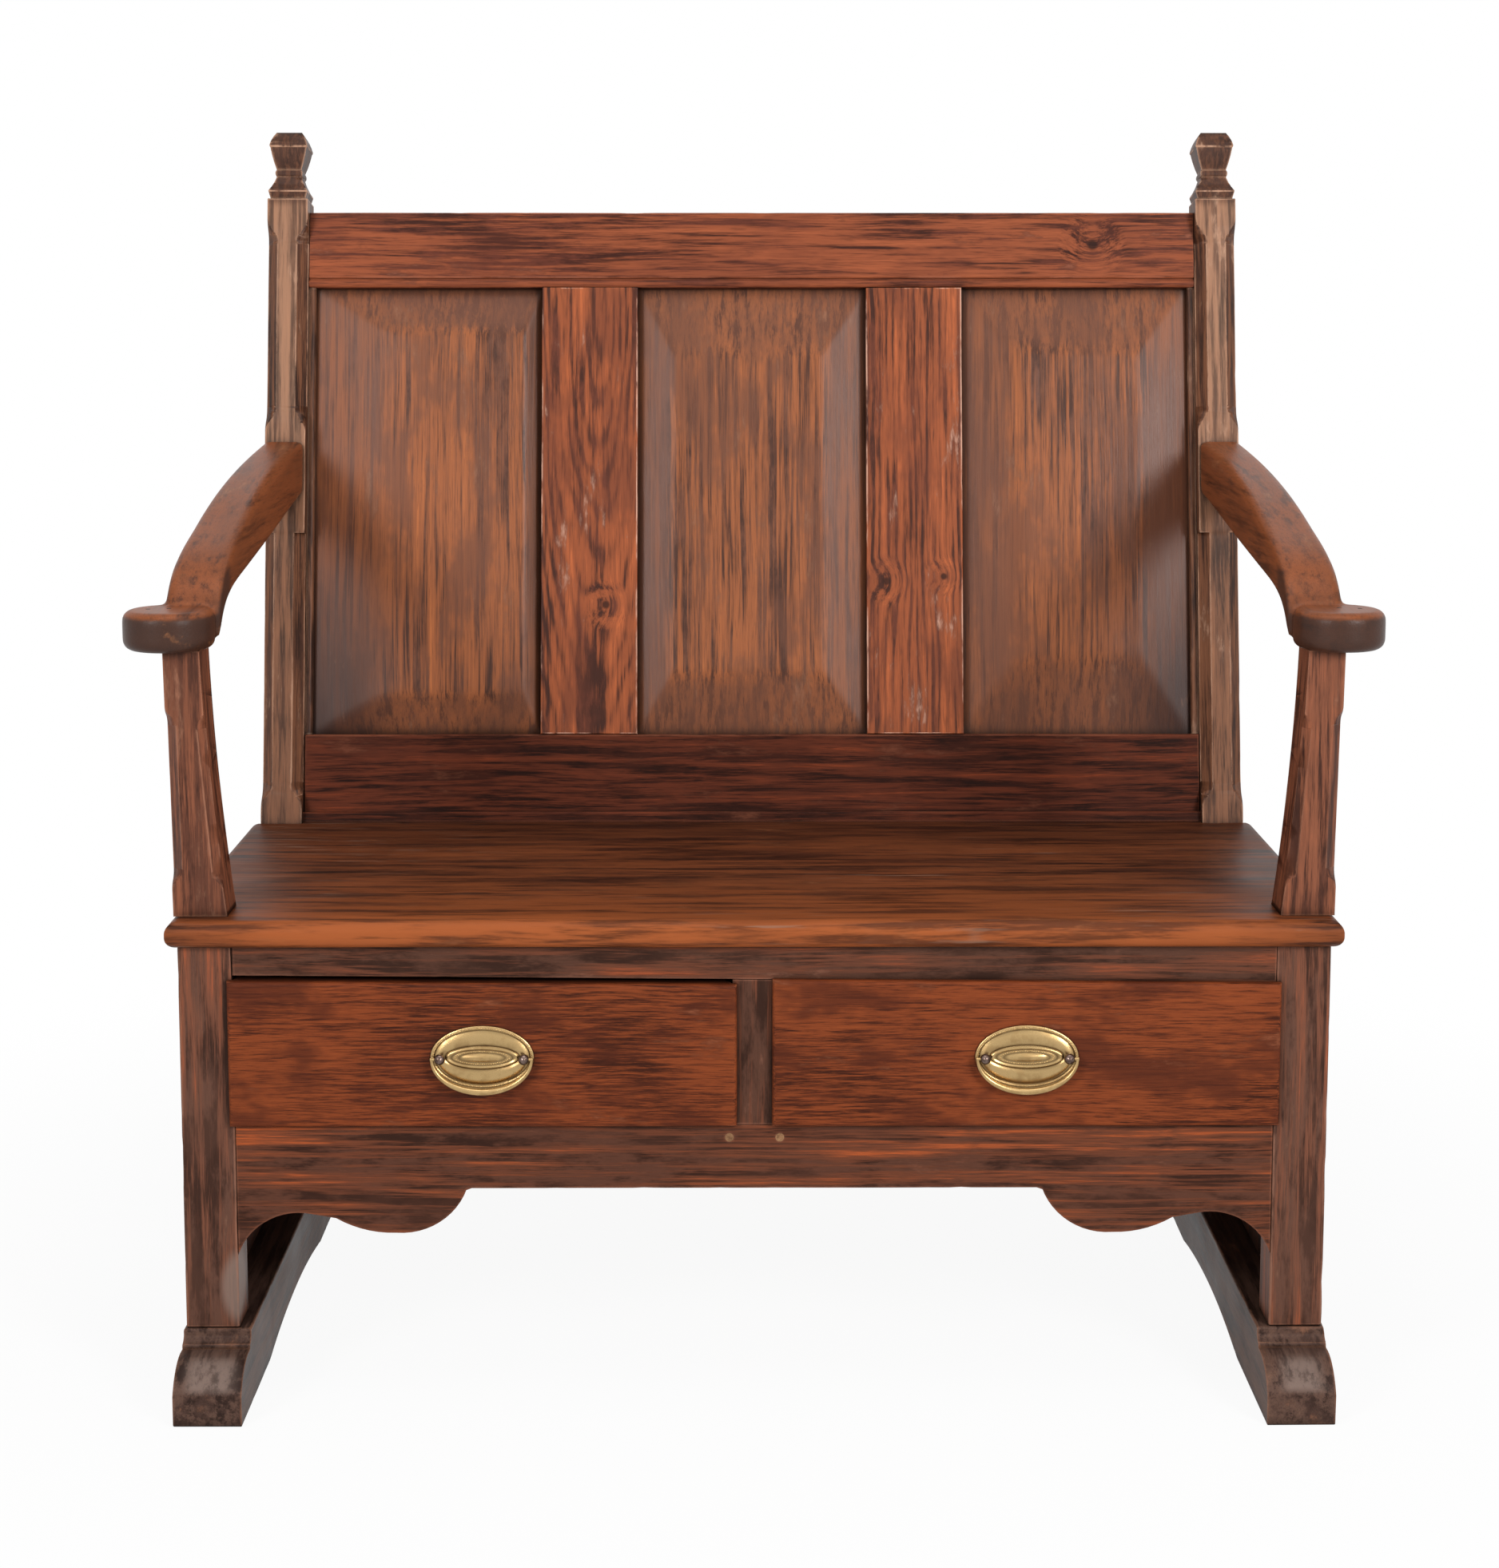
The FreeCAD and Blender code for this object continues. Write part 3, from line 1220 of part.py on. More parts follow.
def drawer_front(label, sign, block_gap, lip_gap_above):
    """Lipped drawer front whose top follows the rail above it; sign is the side of the settle."""
    body = new_body(label)
    block = on_side(sign, BOX_IN, BOX_OUT)
    lip = on_side(sign, f"({DIVIDER_HALF} - lip_overlap)", f"({STILE_IN} + lip_overlap)")
    slab(body, "XZ", "0 - lip_gap - lip_thickness / 2", FRONT_INNER_FACE, front_outline(block, block_gap))
    slab(body, "XZ", LIP_FACE, "0 - lip_gap", front_outline(lip, lip_gap_above))

    def on_face(edge):
        return edge.BoundBox.YMax < value(LIP_FACE) + 0.01

    round_edges(body, on_face, "lip_rounding")
    near = on_side(sign, BOX_IN, f"({BOX_IN} + drawer_side_thickness)")
    far = on_side(sign, f"({BOX_OUT} - drawer_side_thickness)", BOX_OUT)
    for corner in (near, far):
        sockets = [tail_outline(middle, "joint_clearance") for middle in tail_middles()]
        slab(body, "YZ", *widened(*corner), *sockets, cut=True)
    groove = rectangle(f"{FRONT_INNER_FACE} - drawer_groove_depth", f"{FRONT_INNER_FACE} + cut_past",
                       *widened(BOTTOM_LOW, BOTTOM_TOP))
    low, high = block
    stop = "drawer_side_thickness / 2"
    slab(body, "YZ", f"{low} + {stop}", f"{high} - {stop}", groove, cut=True)
    for side in ("-", "+"):
        hole_x = f"{sign} * {PULL_X} {side} pull_post_spacing / 2"
        rod(body, "XZ", f"{LIP_FACE} - cut_past", f"{FRONT_INNER_FACE} + cut_past", hole_x, PULL_Z,
            "pull_post_radius + joint_clearance", cut=True)
    keep(body, label)


def ellipse(width, height, rise):
    """A flat ellipse at a height above the back of a pull's plate."""
    curve = doc.addObject("Part::Ellipse", "Ellipse")
    curve.setExpression("MajorRadius", bound(f"({width}) / 2"))
    curve.setExpression("MinorRadius", bound(f"({height}) / 2"))
    curve.setExpression("Placement.Base.z", bound(rise))
    return curve


def pull_frame(sign):
    """Frame of a pull: on the face of its drawer front, with Z pointing out to the front."""
    return (f"{sign} * {PULL_X}", f"{FRONT} + {LIP_FACE}", PULL_Z, "90")


def cylinder(radius, low, high, x):
    rod_piece = doc.addObject("Part::Cylinder", "Rod")
    rod_piece.setExpression("Radius", bound(radius))
    rod_piece.setExpression("Height", bound(f"({high}) - ({low})"))
    rod_piece.setExpression("Placement.Base.x", bound(x))
    rod_piece.setExpression("Placement.Base.z", bound(low))
    return rod_piece


def cut_away(label, base, tools):
    waste = join(f"{label}_waste", tools) if len(tools) > 1 else tools[0]
    result = doc.addObject("Part::Cut", label)
    result.Base = base
    result.Tool = waste
    return result


def post_places():
    return ["0 - pull_post_spacing / 2", "pull_post_spacing / 2"]


def pull_backplate(label, sign):
    """Oval plate: raised rim, dished band, raised ring and a boss, one outline inside another."""
    dish = "plate_rim_width + plate_rim_height"
    ring = "plate_ring_inset"
    levels = [
        ("0", "0"),
        ("0", "plate_edge"),
        ("plate_rim_width / 3", "plate_rim_height"),
        ("plate_rim_width", "plate_rim_height"),
        (dish, "plate_dish_height"),
        (ring, "plate_dish_height"),
        (f"{ring} + plate_edge", "plate_ring_height"),
    ]
    sections = [ellipse(f"plate_width - 2 * ({inset})", f"plate_height - 2 * ({inset})", rise)
                for inset, rise in levels]
    sections.append(ellipse("boss_width", "boss_height", "plate_dish_height"))
    sections.append(ellipse("boss_width * 3 / 4", "boss_height / 2", "boss_rise"))
    loft = doc.addObject("Part::Loft", f"{label}_plate")
    loft.Sections = sections
    loft.Solid = True
    loft.Ruled = True
    bore = ("pull_post_radius + joint_clearance", "0 - cut_past", "boss_rise + cut_past")
    holes = [cylinder(*bore, x) for x in post_places()]
    plate = cut_away(label, loft, holes)
    place(plate, pull_frame(sign))
    keep(plate, label)


def pull_posts(label, sign):
    """Two ball-headed posts whose shanks go through the plate and the drawer front."""
    posts = []
    for x in post_places():
        ball = doc.addObject("Part::Sphere", "Ball")
        ball.setExpression("Radius", bound("pull_ball_radius"))
        ball.setExpression("Placement.Base.x", bound(x))
        ball.setExpression("Placement.Base.z", bound("pull_ball_standoff"))
        shank = cylinder("pull_post_radius", f"{NUT_BACK} - tenon_end_gap", "pull_ball_standoff", x)
        collar = cylinder("pull_collar_radius", "plate_dish_height + joint_clearance / 3",
                          "pull_ball_standoff - pull_ball_radius / 2", x)
        stem = join(f"{label}_stem", [ball, shank, collar])
        reach = "(pull_ball_radius + cut_past)"
        eye = cylinder("bail_pin_radius + bail_pin_clearance", f"0 - {reach}", reach, "0")
        eye.Placement = FreeCAD.Placement(FreeCAD.Vector(), FreeCAD.Rotation(Y_AXIS, 90))
        eye.setExpression("Placement.Base.x", bound(f"{x} - {reach}"))
        eye.setExpression("Placement.Base.z", bound("pull_ball_standoff"))
        post = cut_away(f"{label}_post", stem, [eye])
        place(post, pull_frame(sign))
        posts.append(post)
    group(label, posts)


def pull_nuts(label, sign):
    """Square nuts on the pull's posts, inside the drawer front."""
    nuts = []
    for x in post_places():
        block = doc.addObject("Part::Box", "Nut")
        block.setExpression("Length", bound("nut_width"))
        block.setExpression("Width", bound("nut_width"))
        block.setExpression("Height", bound("nut_thickness"))
        block.setExpression("Placement.Base.x", bound(f"{x} - nut_width / 2"))
        block.setExpression("Placement.Base.y", bound("0 - nut_width / 2"))
        block.setExpression("Placement.Base.z", bound(NUT_BACK))
        hole = cylinder("pull_post_radius + joint_clearance / 3", f"{NUT_BACK} - cut_past",
                        f"{NUT_BACK} + nut_thickness + cut_past", x)
        nut = cut_away(f"{label}_nut", block, [hole])
        place(nut, pull_frame(sign))
        nuts.append(nut)
    group(label, nuts)


def pull_bail(label, sign):
    """Bail bent to the plate's lower outline, with a pin at each end that turns in a post's eye."""
    body = new_body(label, (f"{sign} * {PULL_X}", f"{FRONT} + {LIP_FACE} - pull_ball_standoff", PULL_Z, None))
    half = "(bail_width / 2)"
    side = "bail_side_radius"
    reach = f"({half} - {side})"
    sweep = f"(({reach}^2 + bail_drop^2 - {side}^2) / (2 * (bail_drop - {side})))"
    bend_x = f"({reach} + {side} * {reach} / ({sweep} - {side}))"
    bend_z = f"(0 - {side} * ({sweep} - bail_drop) / ({sweep} - {side}))"
    side_chord = f"(({half} - {bend_x})^2 + {bend_z}^2)"
    side_bulge = f"({side} - sqrt({side}^2 - {side_chord} / 4))"
    sweep_bulge = f"(bail_drop + {bend_z})"
    path = [
        (f"0 - {half}", "bail_radius"),
        (f"0 - {half}", "0"),
        (f"0 - {bend_x}", bend_z, side_bulge),
        (bend_x, bend_z, sweep_bulge),
        (half, "0", side_bulge),
        (half, "bail_radius"),
    ]
    spine = sketch_on(body, "XZ", "0")
    draw(spine, path, closed=False)
    profile = sketch_on(body, "XY", "bail_radius")
    draw_circle(profile, f"0 - {half}", "0", "bail_radius")
    pipe = body.newObject("PartDesign::AdditivePipe", "Pipe")
    pipe.Profile = profile
    pipe.Spine = spine
    for low, high in ((f"0 - {half}", f"0 - {half} + bail_pin_length"), (f"{half} - bail_pin_length", half)):
        rod(body, "YZ", low, high, "0", "0", "bail_pin_radius")
    keep(body, label)


def build():
    fill_sheet()
    sledge_foot()
    front_stile()
    rear_post()
    end_board()
    front_top_rail()
    drawer_divider()
    apron_rail()
    drawer_runners()
    runner_pegs()
    kickers()
    rear_board()
    seat_board()
    seat_strip()
    back_rails()
    back_muntin()
    back_panels()
    panel_bead()
    arm()
    arm_nails()
    arm_support()
    drawer_sides()
    drawer_back_and_bottom()
    drawer_front("right_drawer_front", 1, "right_top_gap", "(0 - right_lip_cover)")
    drawer_front("left_drawer_front", -1, "left_top_gap", "left_top_gap")
    for name, sign in (("right", 1), ("left", -1)):
        pull_backplate(f"{name}_pull_backplate", sign)
        pull_posts(f"{name}_pull_posts", sign)
        pull_nuts(f"{name}_pull_nuts", sign)
        pull_bail(f"{name}_pull_bail", sign)
    doc.recompute()


def check():
    """Stop if a feature failed, a cut removed nothing or a sub-part isn't sound."""
    for thing in doc.Objects:
        if "Invalid" in thing.State or "Error" in thing.State:
            raise RuntimeError(f"{thing.Name} ({thing.Label}) failed: {thing.State}")
        if thing.TypeId == "PartDesign::Pocket":
            removed = thing.BaseFeature.Shape.Volume - thing.Shape.Volume
            if removed < 0.01:
                raise RuntimeError(f"{thing.Name} in {thing.getParentGeoFeatureGroup().Label} cuts nothing")
    for thing in nodes:
        if thing.Shape.isNull() or not thing.Shape.isValid() or not thing.Shape.Solids:
            raise RuntimeError(f"{thing.Label} has no sound shape")


def write():
    os.makedirs("parts", exist_ok=True)
    for thing in nodes:
        thing.Shape.exportStep(f"parts/{thing.Label}.step")
    print(len(nodes), "sub-parts written")


build()
check()
write()
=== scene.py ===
import math

import bmesh
import bpy
from mathutils import Euler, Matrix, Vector, noise


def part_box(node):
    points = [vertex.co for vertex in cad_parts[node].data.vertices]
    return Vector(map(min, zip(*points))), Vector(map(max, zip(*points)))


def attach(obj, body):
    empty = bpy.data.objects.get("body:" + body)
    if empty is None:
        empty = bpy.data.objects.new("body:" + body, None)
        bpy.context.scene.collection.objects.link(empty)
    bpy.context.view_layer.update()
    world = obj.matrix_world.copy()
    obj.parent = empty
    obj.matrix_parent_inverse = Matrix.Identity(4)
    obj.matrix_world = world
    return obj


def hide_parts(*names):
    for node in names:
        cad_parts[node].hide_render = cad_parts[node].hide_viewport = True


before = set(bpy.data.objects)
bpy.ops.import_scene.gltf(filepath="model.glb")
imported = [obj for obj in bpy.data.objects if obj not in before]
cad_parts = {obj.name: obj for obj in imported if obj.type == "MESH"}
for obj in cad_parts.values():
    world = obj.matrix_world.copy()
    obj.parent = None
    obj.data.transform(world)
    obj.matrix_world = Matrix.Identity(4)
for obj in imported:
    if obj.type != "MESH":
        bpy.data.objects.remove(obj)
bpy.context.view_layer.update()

MILLIMETRE = 0.001
RAKE = math.radians(10.5)
SHARP_CORNER = math.radians(35)
WEAR_PITCH = 0.01
WOBBLE = 0.00025
WOBBLE_SCALE = 9
DENT_SCALE = 45
DENT_LEVEL = 0.2

# Shortest edge that is rounded as a long arris, in millimetres, and the same for the arm supports
SHORTEST = 30
SUPPORT_SHORTEST = 80

DRAWER_FACE = -0.2793
PULL_CENTRE = {"left": -0.24675, "right": 0.24675}
PULL_HEIGHT = 0.328
BAIL_AXIS = -0.2868
POST_SPACING = 76

# Millimetres to the posts' front faces at the seat, and up to the seat's top
POST_FACE = 146
SEAT_TOP = 454

# Turns that lay a piece's grain along the X axis of its pattern, and the grain's own direction
GRAIN_TURN = {
    "across": (0, 0, 0),
    "upright": (0, math.pi / 2, 0),
    "raked": (RAKE, math.pi / 2, 0),
    "deep": (0, 0, -math.pi / 2),
}
RUN = {
    "across": Vector((1, 0, 0)),
    "upright": Vector((0, 0, 1)),
    "raked": Vector((0, math.sin(RAKE), math.cos(RAKE))),
    "deep": Vector((0, 1, 0)),
}


def on_back(x, depth, rise):
    """A point of the raked back, from millimetres across, behind the posts' faces and up from the seat."""
    back = depth * math.cos(RAKE) + rise * math.sin(RAKE)
    up = rise * math.cos(RAKE) - depth * math.sin(RAKE)
    return Vector((x, POST_FACE + back, SEAT_TOP + up)) * MILLIMETRE


def tint(red, green, blue):
    """A colour given as it shows on a screen, 0 to 255, as a shader's colour."""
    shares = [value / 255 for value in (red, green, blue)]
    linear = [s / 12.92 if s <= 0.04045 else ((s + 0.055) / 1.055) ** 2.4 for s in shares]
    return (*linear, 1)


class Finish:
    """The node tree of one material. Most calls add one node and return the socket that it gives."""

    def __init__(self, name):
        self.material = bpy.data.materials.new(name)
        self.material.use_nodes = True
        self.tree = self.material.node_tree
        self.tree.nodes.clear()

    def node(self, kind, inputs=None, **settings):
        made = self.tree.nodes.new("ShaderNode" + kind)
        for key, value in settings.items():
            setattr(made, key, value)
        for key, value in (inputs or {}).items():
            self.feed(made.inputs[key], value)
        return made

    def feed(self, socket, value):
        if isinstance(value, bpy.types.NodeSocket):
            self.tree.links.new(value, socket)
        else:
            socket.default_value = value

    def place(self):
        return self.node("TexCoord").outputs["Object"]

    def mapped(self, vector, scale=(1, 1, 1), turn=(0, 0, 0), move=(0, 0, 0)):
        inputs = {"Vector": vector, "Scale": scale, "Rotation": turn, "Location": move}
        return self.node("Mapping", inputs).outputs[0]

    def noise(self, vector, scale, detail, roughness=0.5):
        inputs = {"Vector": vector, "Scale": scale, "Detail": detail, "Roughness": roughness}
        return self.node("TexNoise", inputs).outputs[0]

    def sum(self, operation, first, second=0.0, third=0.0):
        inputs = {0: first, 1: second, 2: third}
        return self.node("Math", inputs, operation=operation).outputs[0]

    def vector(self, operation, first, second=(0, 0, 0)):
        made = self.node("VectorMath", {0: first, 1: second}, operation=operation)
        return made.outputs["Value"] if operation in ("LENGTH", "DISTANCE", "DOT_PRODUCT") else made.outputs[0]

    def spread(self, value, low, high, to_low=0.0, to_high=1.0):
        inputs = {"Value": value, "From Min": low, "From Max": high, "To Min": to_low, "To Max": to_high}
        return self.node("MapRange", inputs, interpolation_type="SMOOTHSTEP").outputs[0]

    def mix(self, share, first, second):
        inputs = {0: share, 6: first, 7: second}
        return self.node("Mix", inputs, data_type="RGBA").outputs[2]

    def split(self, vector):
        return self.node("SeparateXYZ", {0: vector}).outputs

    def arris_nearness(self, radius):
        """How near a point is to an arris: 0 on a flat face, rising towards the arris."""
        rounded = self.node("Bevel", {"Radius": radius}, samples=4).outputs[0]
        face = self.node("NewGeometry").outputs["Normal"]
        return self.sum("SUBTRACT", 1.0, self.vector("DOT_PRODUCT", rounded, face))

    def bump(self, height, distance, strength=1.0, normal=None):
        inputs = {"Height": height, "Distance": distance, "Strength": strength}
        if normal is not None:
            inputs["Normal"] = normal
        return self.node("Bump", inputs).outputs[0]

    def surface(self, **inputs):
        shader = self.node("BsdfPrincipled", {key.replace("_", " "): value for key, value in inputs.items()})
        out = self.node("OutputMaterial")
        self.tree.links.new(shader.outputs[0], out.inputs["Surface"])
        return self.material


def wood(name, grain, look, heart, seed, knots=(), worn=None):
    """Old stained and waxed wood.

    heart is a point that the growth rings go round, knots are points with a radius, and worn gives the
    colours and shares of rubbed places from the finish and the piece's own place, with painted shade and a
    painted sheen among them on some pieces. Ambient occlusion adds painted shade in corners, gaps and recesses.
    """
    finish = Finish(name)
    place = finish.place()
    turn = GRAIN_TURN[grain]
    turned = finish.mapped(place, turn=turn)
    moved = finish.mapped(turned, move=(seed * 1.37, seed * 2.61, seed * 3.23))

    wander = finish.noise(finish.mapped(moved, scale=(2.5, 10, 10)), 1.0, 2.0)
    wander = finish.sum("SUBTRACT", wander, 0.5)
    aside = finish.sum("MULTIPLY", wander, look["wander"])
    knot_dark = None
    for spot, radius in knots:
        distance = finish.vector("DISTANCE", place, spot)
        near = finish.spread(distance, 0.0, radius * 5, 1.0, 0.0)
        aside = finish.sum("MULTIPLY_ADD", near, radius * 1.6, aside)
        dark = finish.spread(distance, radius * 0.4, radius, 1.0, 0.0)
        knot_dark = dark if knot_dark is None else finish.sum("MAXIMUM", knot_dark, dark)
    shift = finish.node("CombineXYZ", {0: 0.0, 1: aside, 2: aside}).outputs[0]
    bent = finish.vector("ADD", moved, shift)

    along, over = look["streak"]
    flame = finish.noise(finish.mapped(bent, scale=(along, over, over)), 1.0, 5.0, look["ragged"])
    fibre = finish.noise(finish.mapped(bent, scale=(along * 2.4, over * 3.2, over * 3.2)), 1.0, 4.0, 0.7)
    cloud = finish.noise(finish.mapped(moved, scale=(3, 7, 7)), 1.0, 3.0, 0.6)
    stain = finish.noise(finish.mapped(moved, scale=(10, 34, 34)), 1.0, 5.0, 0.7)
    pores = finish.noise(finish.mapped(bent, scale=(36, 800, 800)), 1.0, 1.0)

    centre = Vector(heart)
    centre.rotate(Euler(turn))
    parts = finish.split(finish.vector("SUBTRACT", turned, centre))
    inward = finish.sum("MULTIPLY_ADD", parts[0], look["tilt"], parts[1])
    ring = finish.vector("LENGTH", finish.node("CombineXYZ", {0: 0.0, 1: inward, 2: parts[2]}).outputs[0])
    ring = finish.sum("MULTIPLY_ADD", wander, look["ring"] * 4, finish.sum("ADD", ring, aside))
    band = finish.sum("FRACT", finish.sum("DIVIDE", ring, look["ring"]))
    band = finish.spread(finish.sum("ABSOLUTE", finish.sum("SUBTRACT", band, 0.5)), 0.1, 0.5, 1.0, 0.0)

    streak = finish.sum("MULTIPLY", flame, look["flame"])
    streak = finish.sum("MULTIPLY_ADD", fibre, look["fibre"], streak)
    streak = finish.sum("MULTIPLY_ADD", band, look["band"], streak)
    streak = finish.sum("MULTIPLY_ADD", cloud, look["cloud"], streak)
    level, crisp = look["cover"]
    ground = finish.mix(finish.spread(stain, 0.42, 0.58), look["dark"], look["glaze"])
    colour = finish.mix(finish.spread(streak, level - crisp, level + crisp), ground, look["tone"])
    colour = finish.mix(finish.spread(streak, level + crisp, level + crisp * 3.5, 0.0, look["lift"]), colour,
                        look["bright"])
    colour = finish.mix(finish.spread(stain, 0.57, 0.66, 0.0, look["stain"]), colour, look["dark"])
    colour = finish.mix(finish.spread(pores, 0.55, 0.72, 0.0, look["pores"]), colour, look["dark"])
    mottle = finish.noise(finish.mapped(moved, scale=(7, 16, 16)), 1.0, 4.0, 0.65)
    colour = finish.mix(finish.spread(mottle, 0.48, 0.62, 0.0, look["mottle"]), colour, look["glaze"])
    border = finish.node("Attribute", attribute_name="bevel").outputs["Fac"]
    border = finish.sum("MULTIPLY", border, finish.spread(cloud, 0.3, 0.65, 0.85, 0.35))
    colour = finish.mix(border, colour, look["glaze"])
    if worn is not None:
        # Real wear marks, and on some pieces painted shade and a painted sheen.
        for rubbed, rubbed_share in worn(finish, place, flame, cloud):
            colour = finish.mix(rubbed_share, colour, rubbed)
    if knot_dark is not None:
        colour = finish.mix(finish.sum("MULTIPLY", knot_dark, 0.85), colour, look["knot"])
    # Pale arrises: finish worn off the rounded edges, partly a painted highlight along them.
    rounded = finish.node("Attribute", attribute_name="arris").outputs["Fac"]
    edge = finish.sum("MULTIPLY", finish.arris_nearness(look["arris"]), look["edge"])
    arris = finish.sum("MULTIPLY_ADD", rounded, 0.12, edge)
    arris = finish.sum("MULTIPLY_ADD", finish.sum("SUBTRACT", stain, 0.5), 0.8, arris)
    arris = finish.spread(arris, 0.07, 0.2, 0.0, look["arris_share"])
    colour = finish.mix(arris, colour, look["arris_colour"])
    # Painted shade: the colour darkens where ambient occlusion finds other surfaces close by, in corners, gaps and
    # recesses.
    open_sky = finish.node("AmbientOcclusion", {"Distance": look["nook"]}, samples=6).outputs["AO"]
    colour = finish.mix(finish.spread(open_sky, 0.3, 0.85, look["grime"], 0.0), colour, PAINTED_SHADE)

    dull, glossy = look["rough"]
    rough = finish.spread(finish.sum("MULTIPLY_ADD", flame, 0.35, cloud), 0.35, 0.95, glossy, dull)
    relief = finish.sum("MULTIPLY_ADD", flame, 0.4, fibre)
    normal = finish.bump(relief, 0.0006, look["relief"])
    slow = finish.noise(finish.mapped(moved, scale=(5, 14, 14)), 1.0, 1.0)
    normal = finish.bump(slow, 0.004, look["planed"], normal)
    return finish.surface(Base_Color=colour, Roughness=rough, Normal=normal,
                          Specular_IOR_Level=look["gloss"])


# Colour of the painted shade in corners, gaps and recesses.
PAINTED_SHADE = tint(22, 13, 9)
# Plain values of a wood; nook is how far the painted corner shade reaches.
PLAIN_LOOK = dict(wander=0.012, ring=0.006, streak=(6, 90), ragged=0.68, flame=0.6, fibre=0.2, band=0.0,
                  cloud=0.2, cover=(0.49, 0.04), lift=0.8, stain=0.35, pores=0.4, mottle=0.3, arris=0.004,
                  edge=1.0, arris_share=0.55, rough=(0.55, 0.34), relief=0.4, planed=0.22, gloss=0.1,
                  nook=0.016, grime=0.85, knot=tint(35, 16, 10))


def look(dark, glaze, tone, bright, arris, **changes):
    """The values of one kind of wood, as changes to the plain ones."""
    return dict(PLAIN_LOOK, dark=tint(*dark), glaze=tint(*glaze), tone=tint(*tone), bright=tint(*bright),
                arris_colour=tint(*arris), **changes)


LOOKS = {
    "panel": look((64, 37, 26), (102, 63, 46), (148, 86, 51), (186, 108, 60), (150, 105, 80), streak=(4.2, 170),
                  ragged=0.66, gloss=0.22, rough=(0.46, 0.32), cover=(0.485, 0.055), stain=0.3, mottle=0.65,
                  nook=0.025),
    "muntin": look((60, 31, 22), (98, 52, 37), (146, 78, 47), (194, 104, 60), (220, 172, 148), streak=(5, 85),
                   flame=0.56, fibre=0.2, band=0.06, cloud=0.18, ring=0.007, cover=(0.48, 0.05), mottle=0.5,
                   edge=0.0, arris_share=0.75, gloss=0.15),
    "back_rail": look((56, 27, 19), (92, 47, 34), (138, 73, 46), (166, 90, 56), (165, 100, 75), streak=(6, 150),
                      cover=(0.48, 0.05), stain=0.6, edge=0.0),
    "low_rail": look((32, 14, 9), (56, 26, 17), (90, 43, 27), (138, 64, 35), (120, 70, 50), streak=(6, 130),
                     cover=(0.5, 0.05), gloss=0.06),
    "seat": look((36, 18, 11), (66, 35, 22), (110, 59, 33), (140, 78, 43), (140, 84, 52), streak=(6, 75),
                 cover=(0.49, 0.06), stain=0.6, rough=(0.52, 0.34)),
    "front": look((52, 32, 24), (84, 55, 43), (102, 60, 43), (156, 78, 46), (146, 98, 78), streak=(5, 120),
                  cover=(0.515, 0.04), gloss=0.07),
    "stile": look((58, 37, 29), (94, 64, 52), (112, 70, 53), (164, 86, 54), (150, 106, 86), streak=(5, 120),
                  cover=(0.51, 0.04), gloss=0.07),
    "apron": look((50, 29, 21), (86, 53, 40), (104, 58, 39), (178, 86, 43), (130, 82, 62), streak=(3.6, 130),
                  cover=(0.505, 0.035), gloss=0.07),
    "drawer": look((56, 26, 16), (76, 35, 21), (124, 60, 31), (152, 77, 38), (156, 92, 62), streak=(20, 420),
                   flame=0.4, fibre=0.25, cloud=0.35, cover=(0.48, 0.055), pores=0.5, stain=0.5, mottle=0.75,
                   gloss=0.07),
    "arm": look((64, 34, 20), (98, 54, 31), (130, 71, 39), (150, 86, 48), (172, 112, 72), gloss=0.18,
                rough=(0.42, 0.3), cover=(0.46, 0.08), stain=0.25),
    "support": look((58, 32, 23), (90, 53, 39), (126, 75, 53), (158, 92, 62), (172, 120, 94), streak=(7, 150),
                    gloss=0.14, cover=(0.48, 0.05), stain=0.3),
    "post": look((48, 29, 21), (78, 49, 36), (114, 73, 51), (146, 96, 66), (196, 152, 124), streak=(7, 150),
                 gloss=0.15, cover=(0.5, 0.05), arris_share=0.75),
    "foot": look((44, 30, 25), (68, 49, 42), (90, 67, 57), (118, 87, 71), (152, 106, 82), streak=(8, 100),
                 cover=(0.5, 0.06), gloss=0.08),
    "inside": look((80, 54, 38), (104, 74, 52), (138, 102, 72), (166, 128, 92), (150, 112, 80), gloss=0.1,
                   rough=(0.8, 0.6), grime=0.4),
}


def rubbed_and_shaded_seat(finish, place, flame, cloud):
    """The front of the seat, sat on and rubbed warm, its worn nosing, painted shade on its back, and pale
    scratches.
    """
    parts = finish.split(place)
    depth = finish.sum("MULTIPLY_ADD", finish.sum("SUBTRACT", cloud, 0.5), 0.12, parts[1])
    ragged = finish.spread(flame, 0.4, 0.58, 0.2, 0.9)
    middle = finish.spread(finish.sum("ABSOLUTE", parts[0]), 0.42, 0.53, 1.0, 0.2)
    warm = finish.sum("MULTIPLY", finish.spread(depth, -0.27, -0.08, 0.75, 0.0), ragged)
    nosing = finish.sum("MULTIPLY", finish.spread(depth, -0.285, -0.25, 0.75, 0.0), ragged)
    marks = finish.noise(finish.mapped(place, scale=(11, 230, 1), turn=(0, 0, 0.1)), 1.0, 3.0, 0.6)
    scratched = finish.sum("MULTIPLY", finish.spread(marks, 0.6, 0.68, 0.0, 0.4), finish.spread(cloud, 0.5, 0.65))
    return [(tint(134, 70, 34), finish.sum("MULTIPLY", warm, middle)),
            (tint(164, 88, 46), finish.sum("MULTIPLY", nosing, middle)),
            # Painted shade, darker towards the back of the seat.
            (tint(42, 22, 15), finish.spread(depth, -0.02, 0.12, 0.0, 0.5)),
            (tint(140, 116, 100), scratched)]


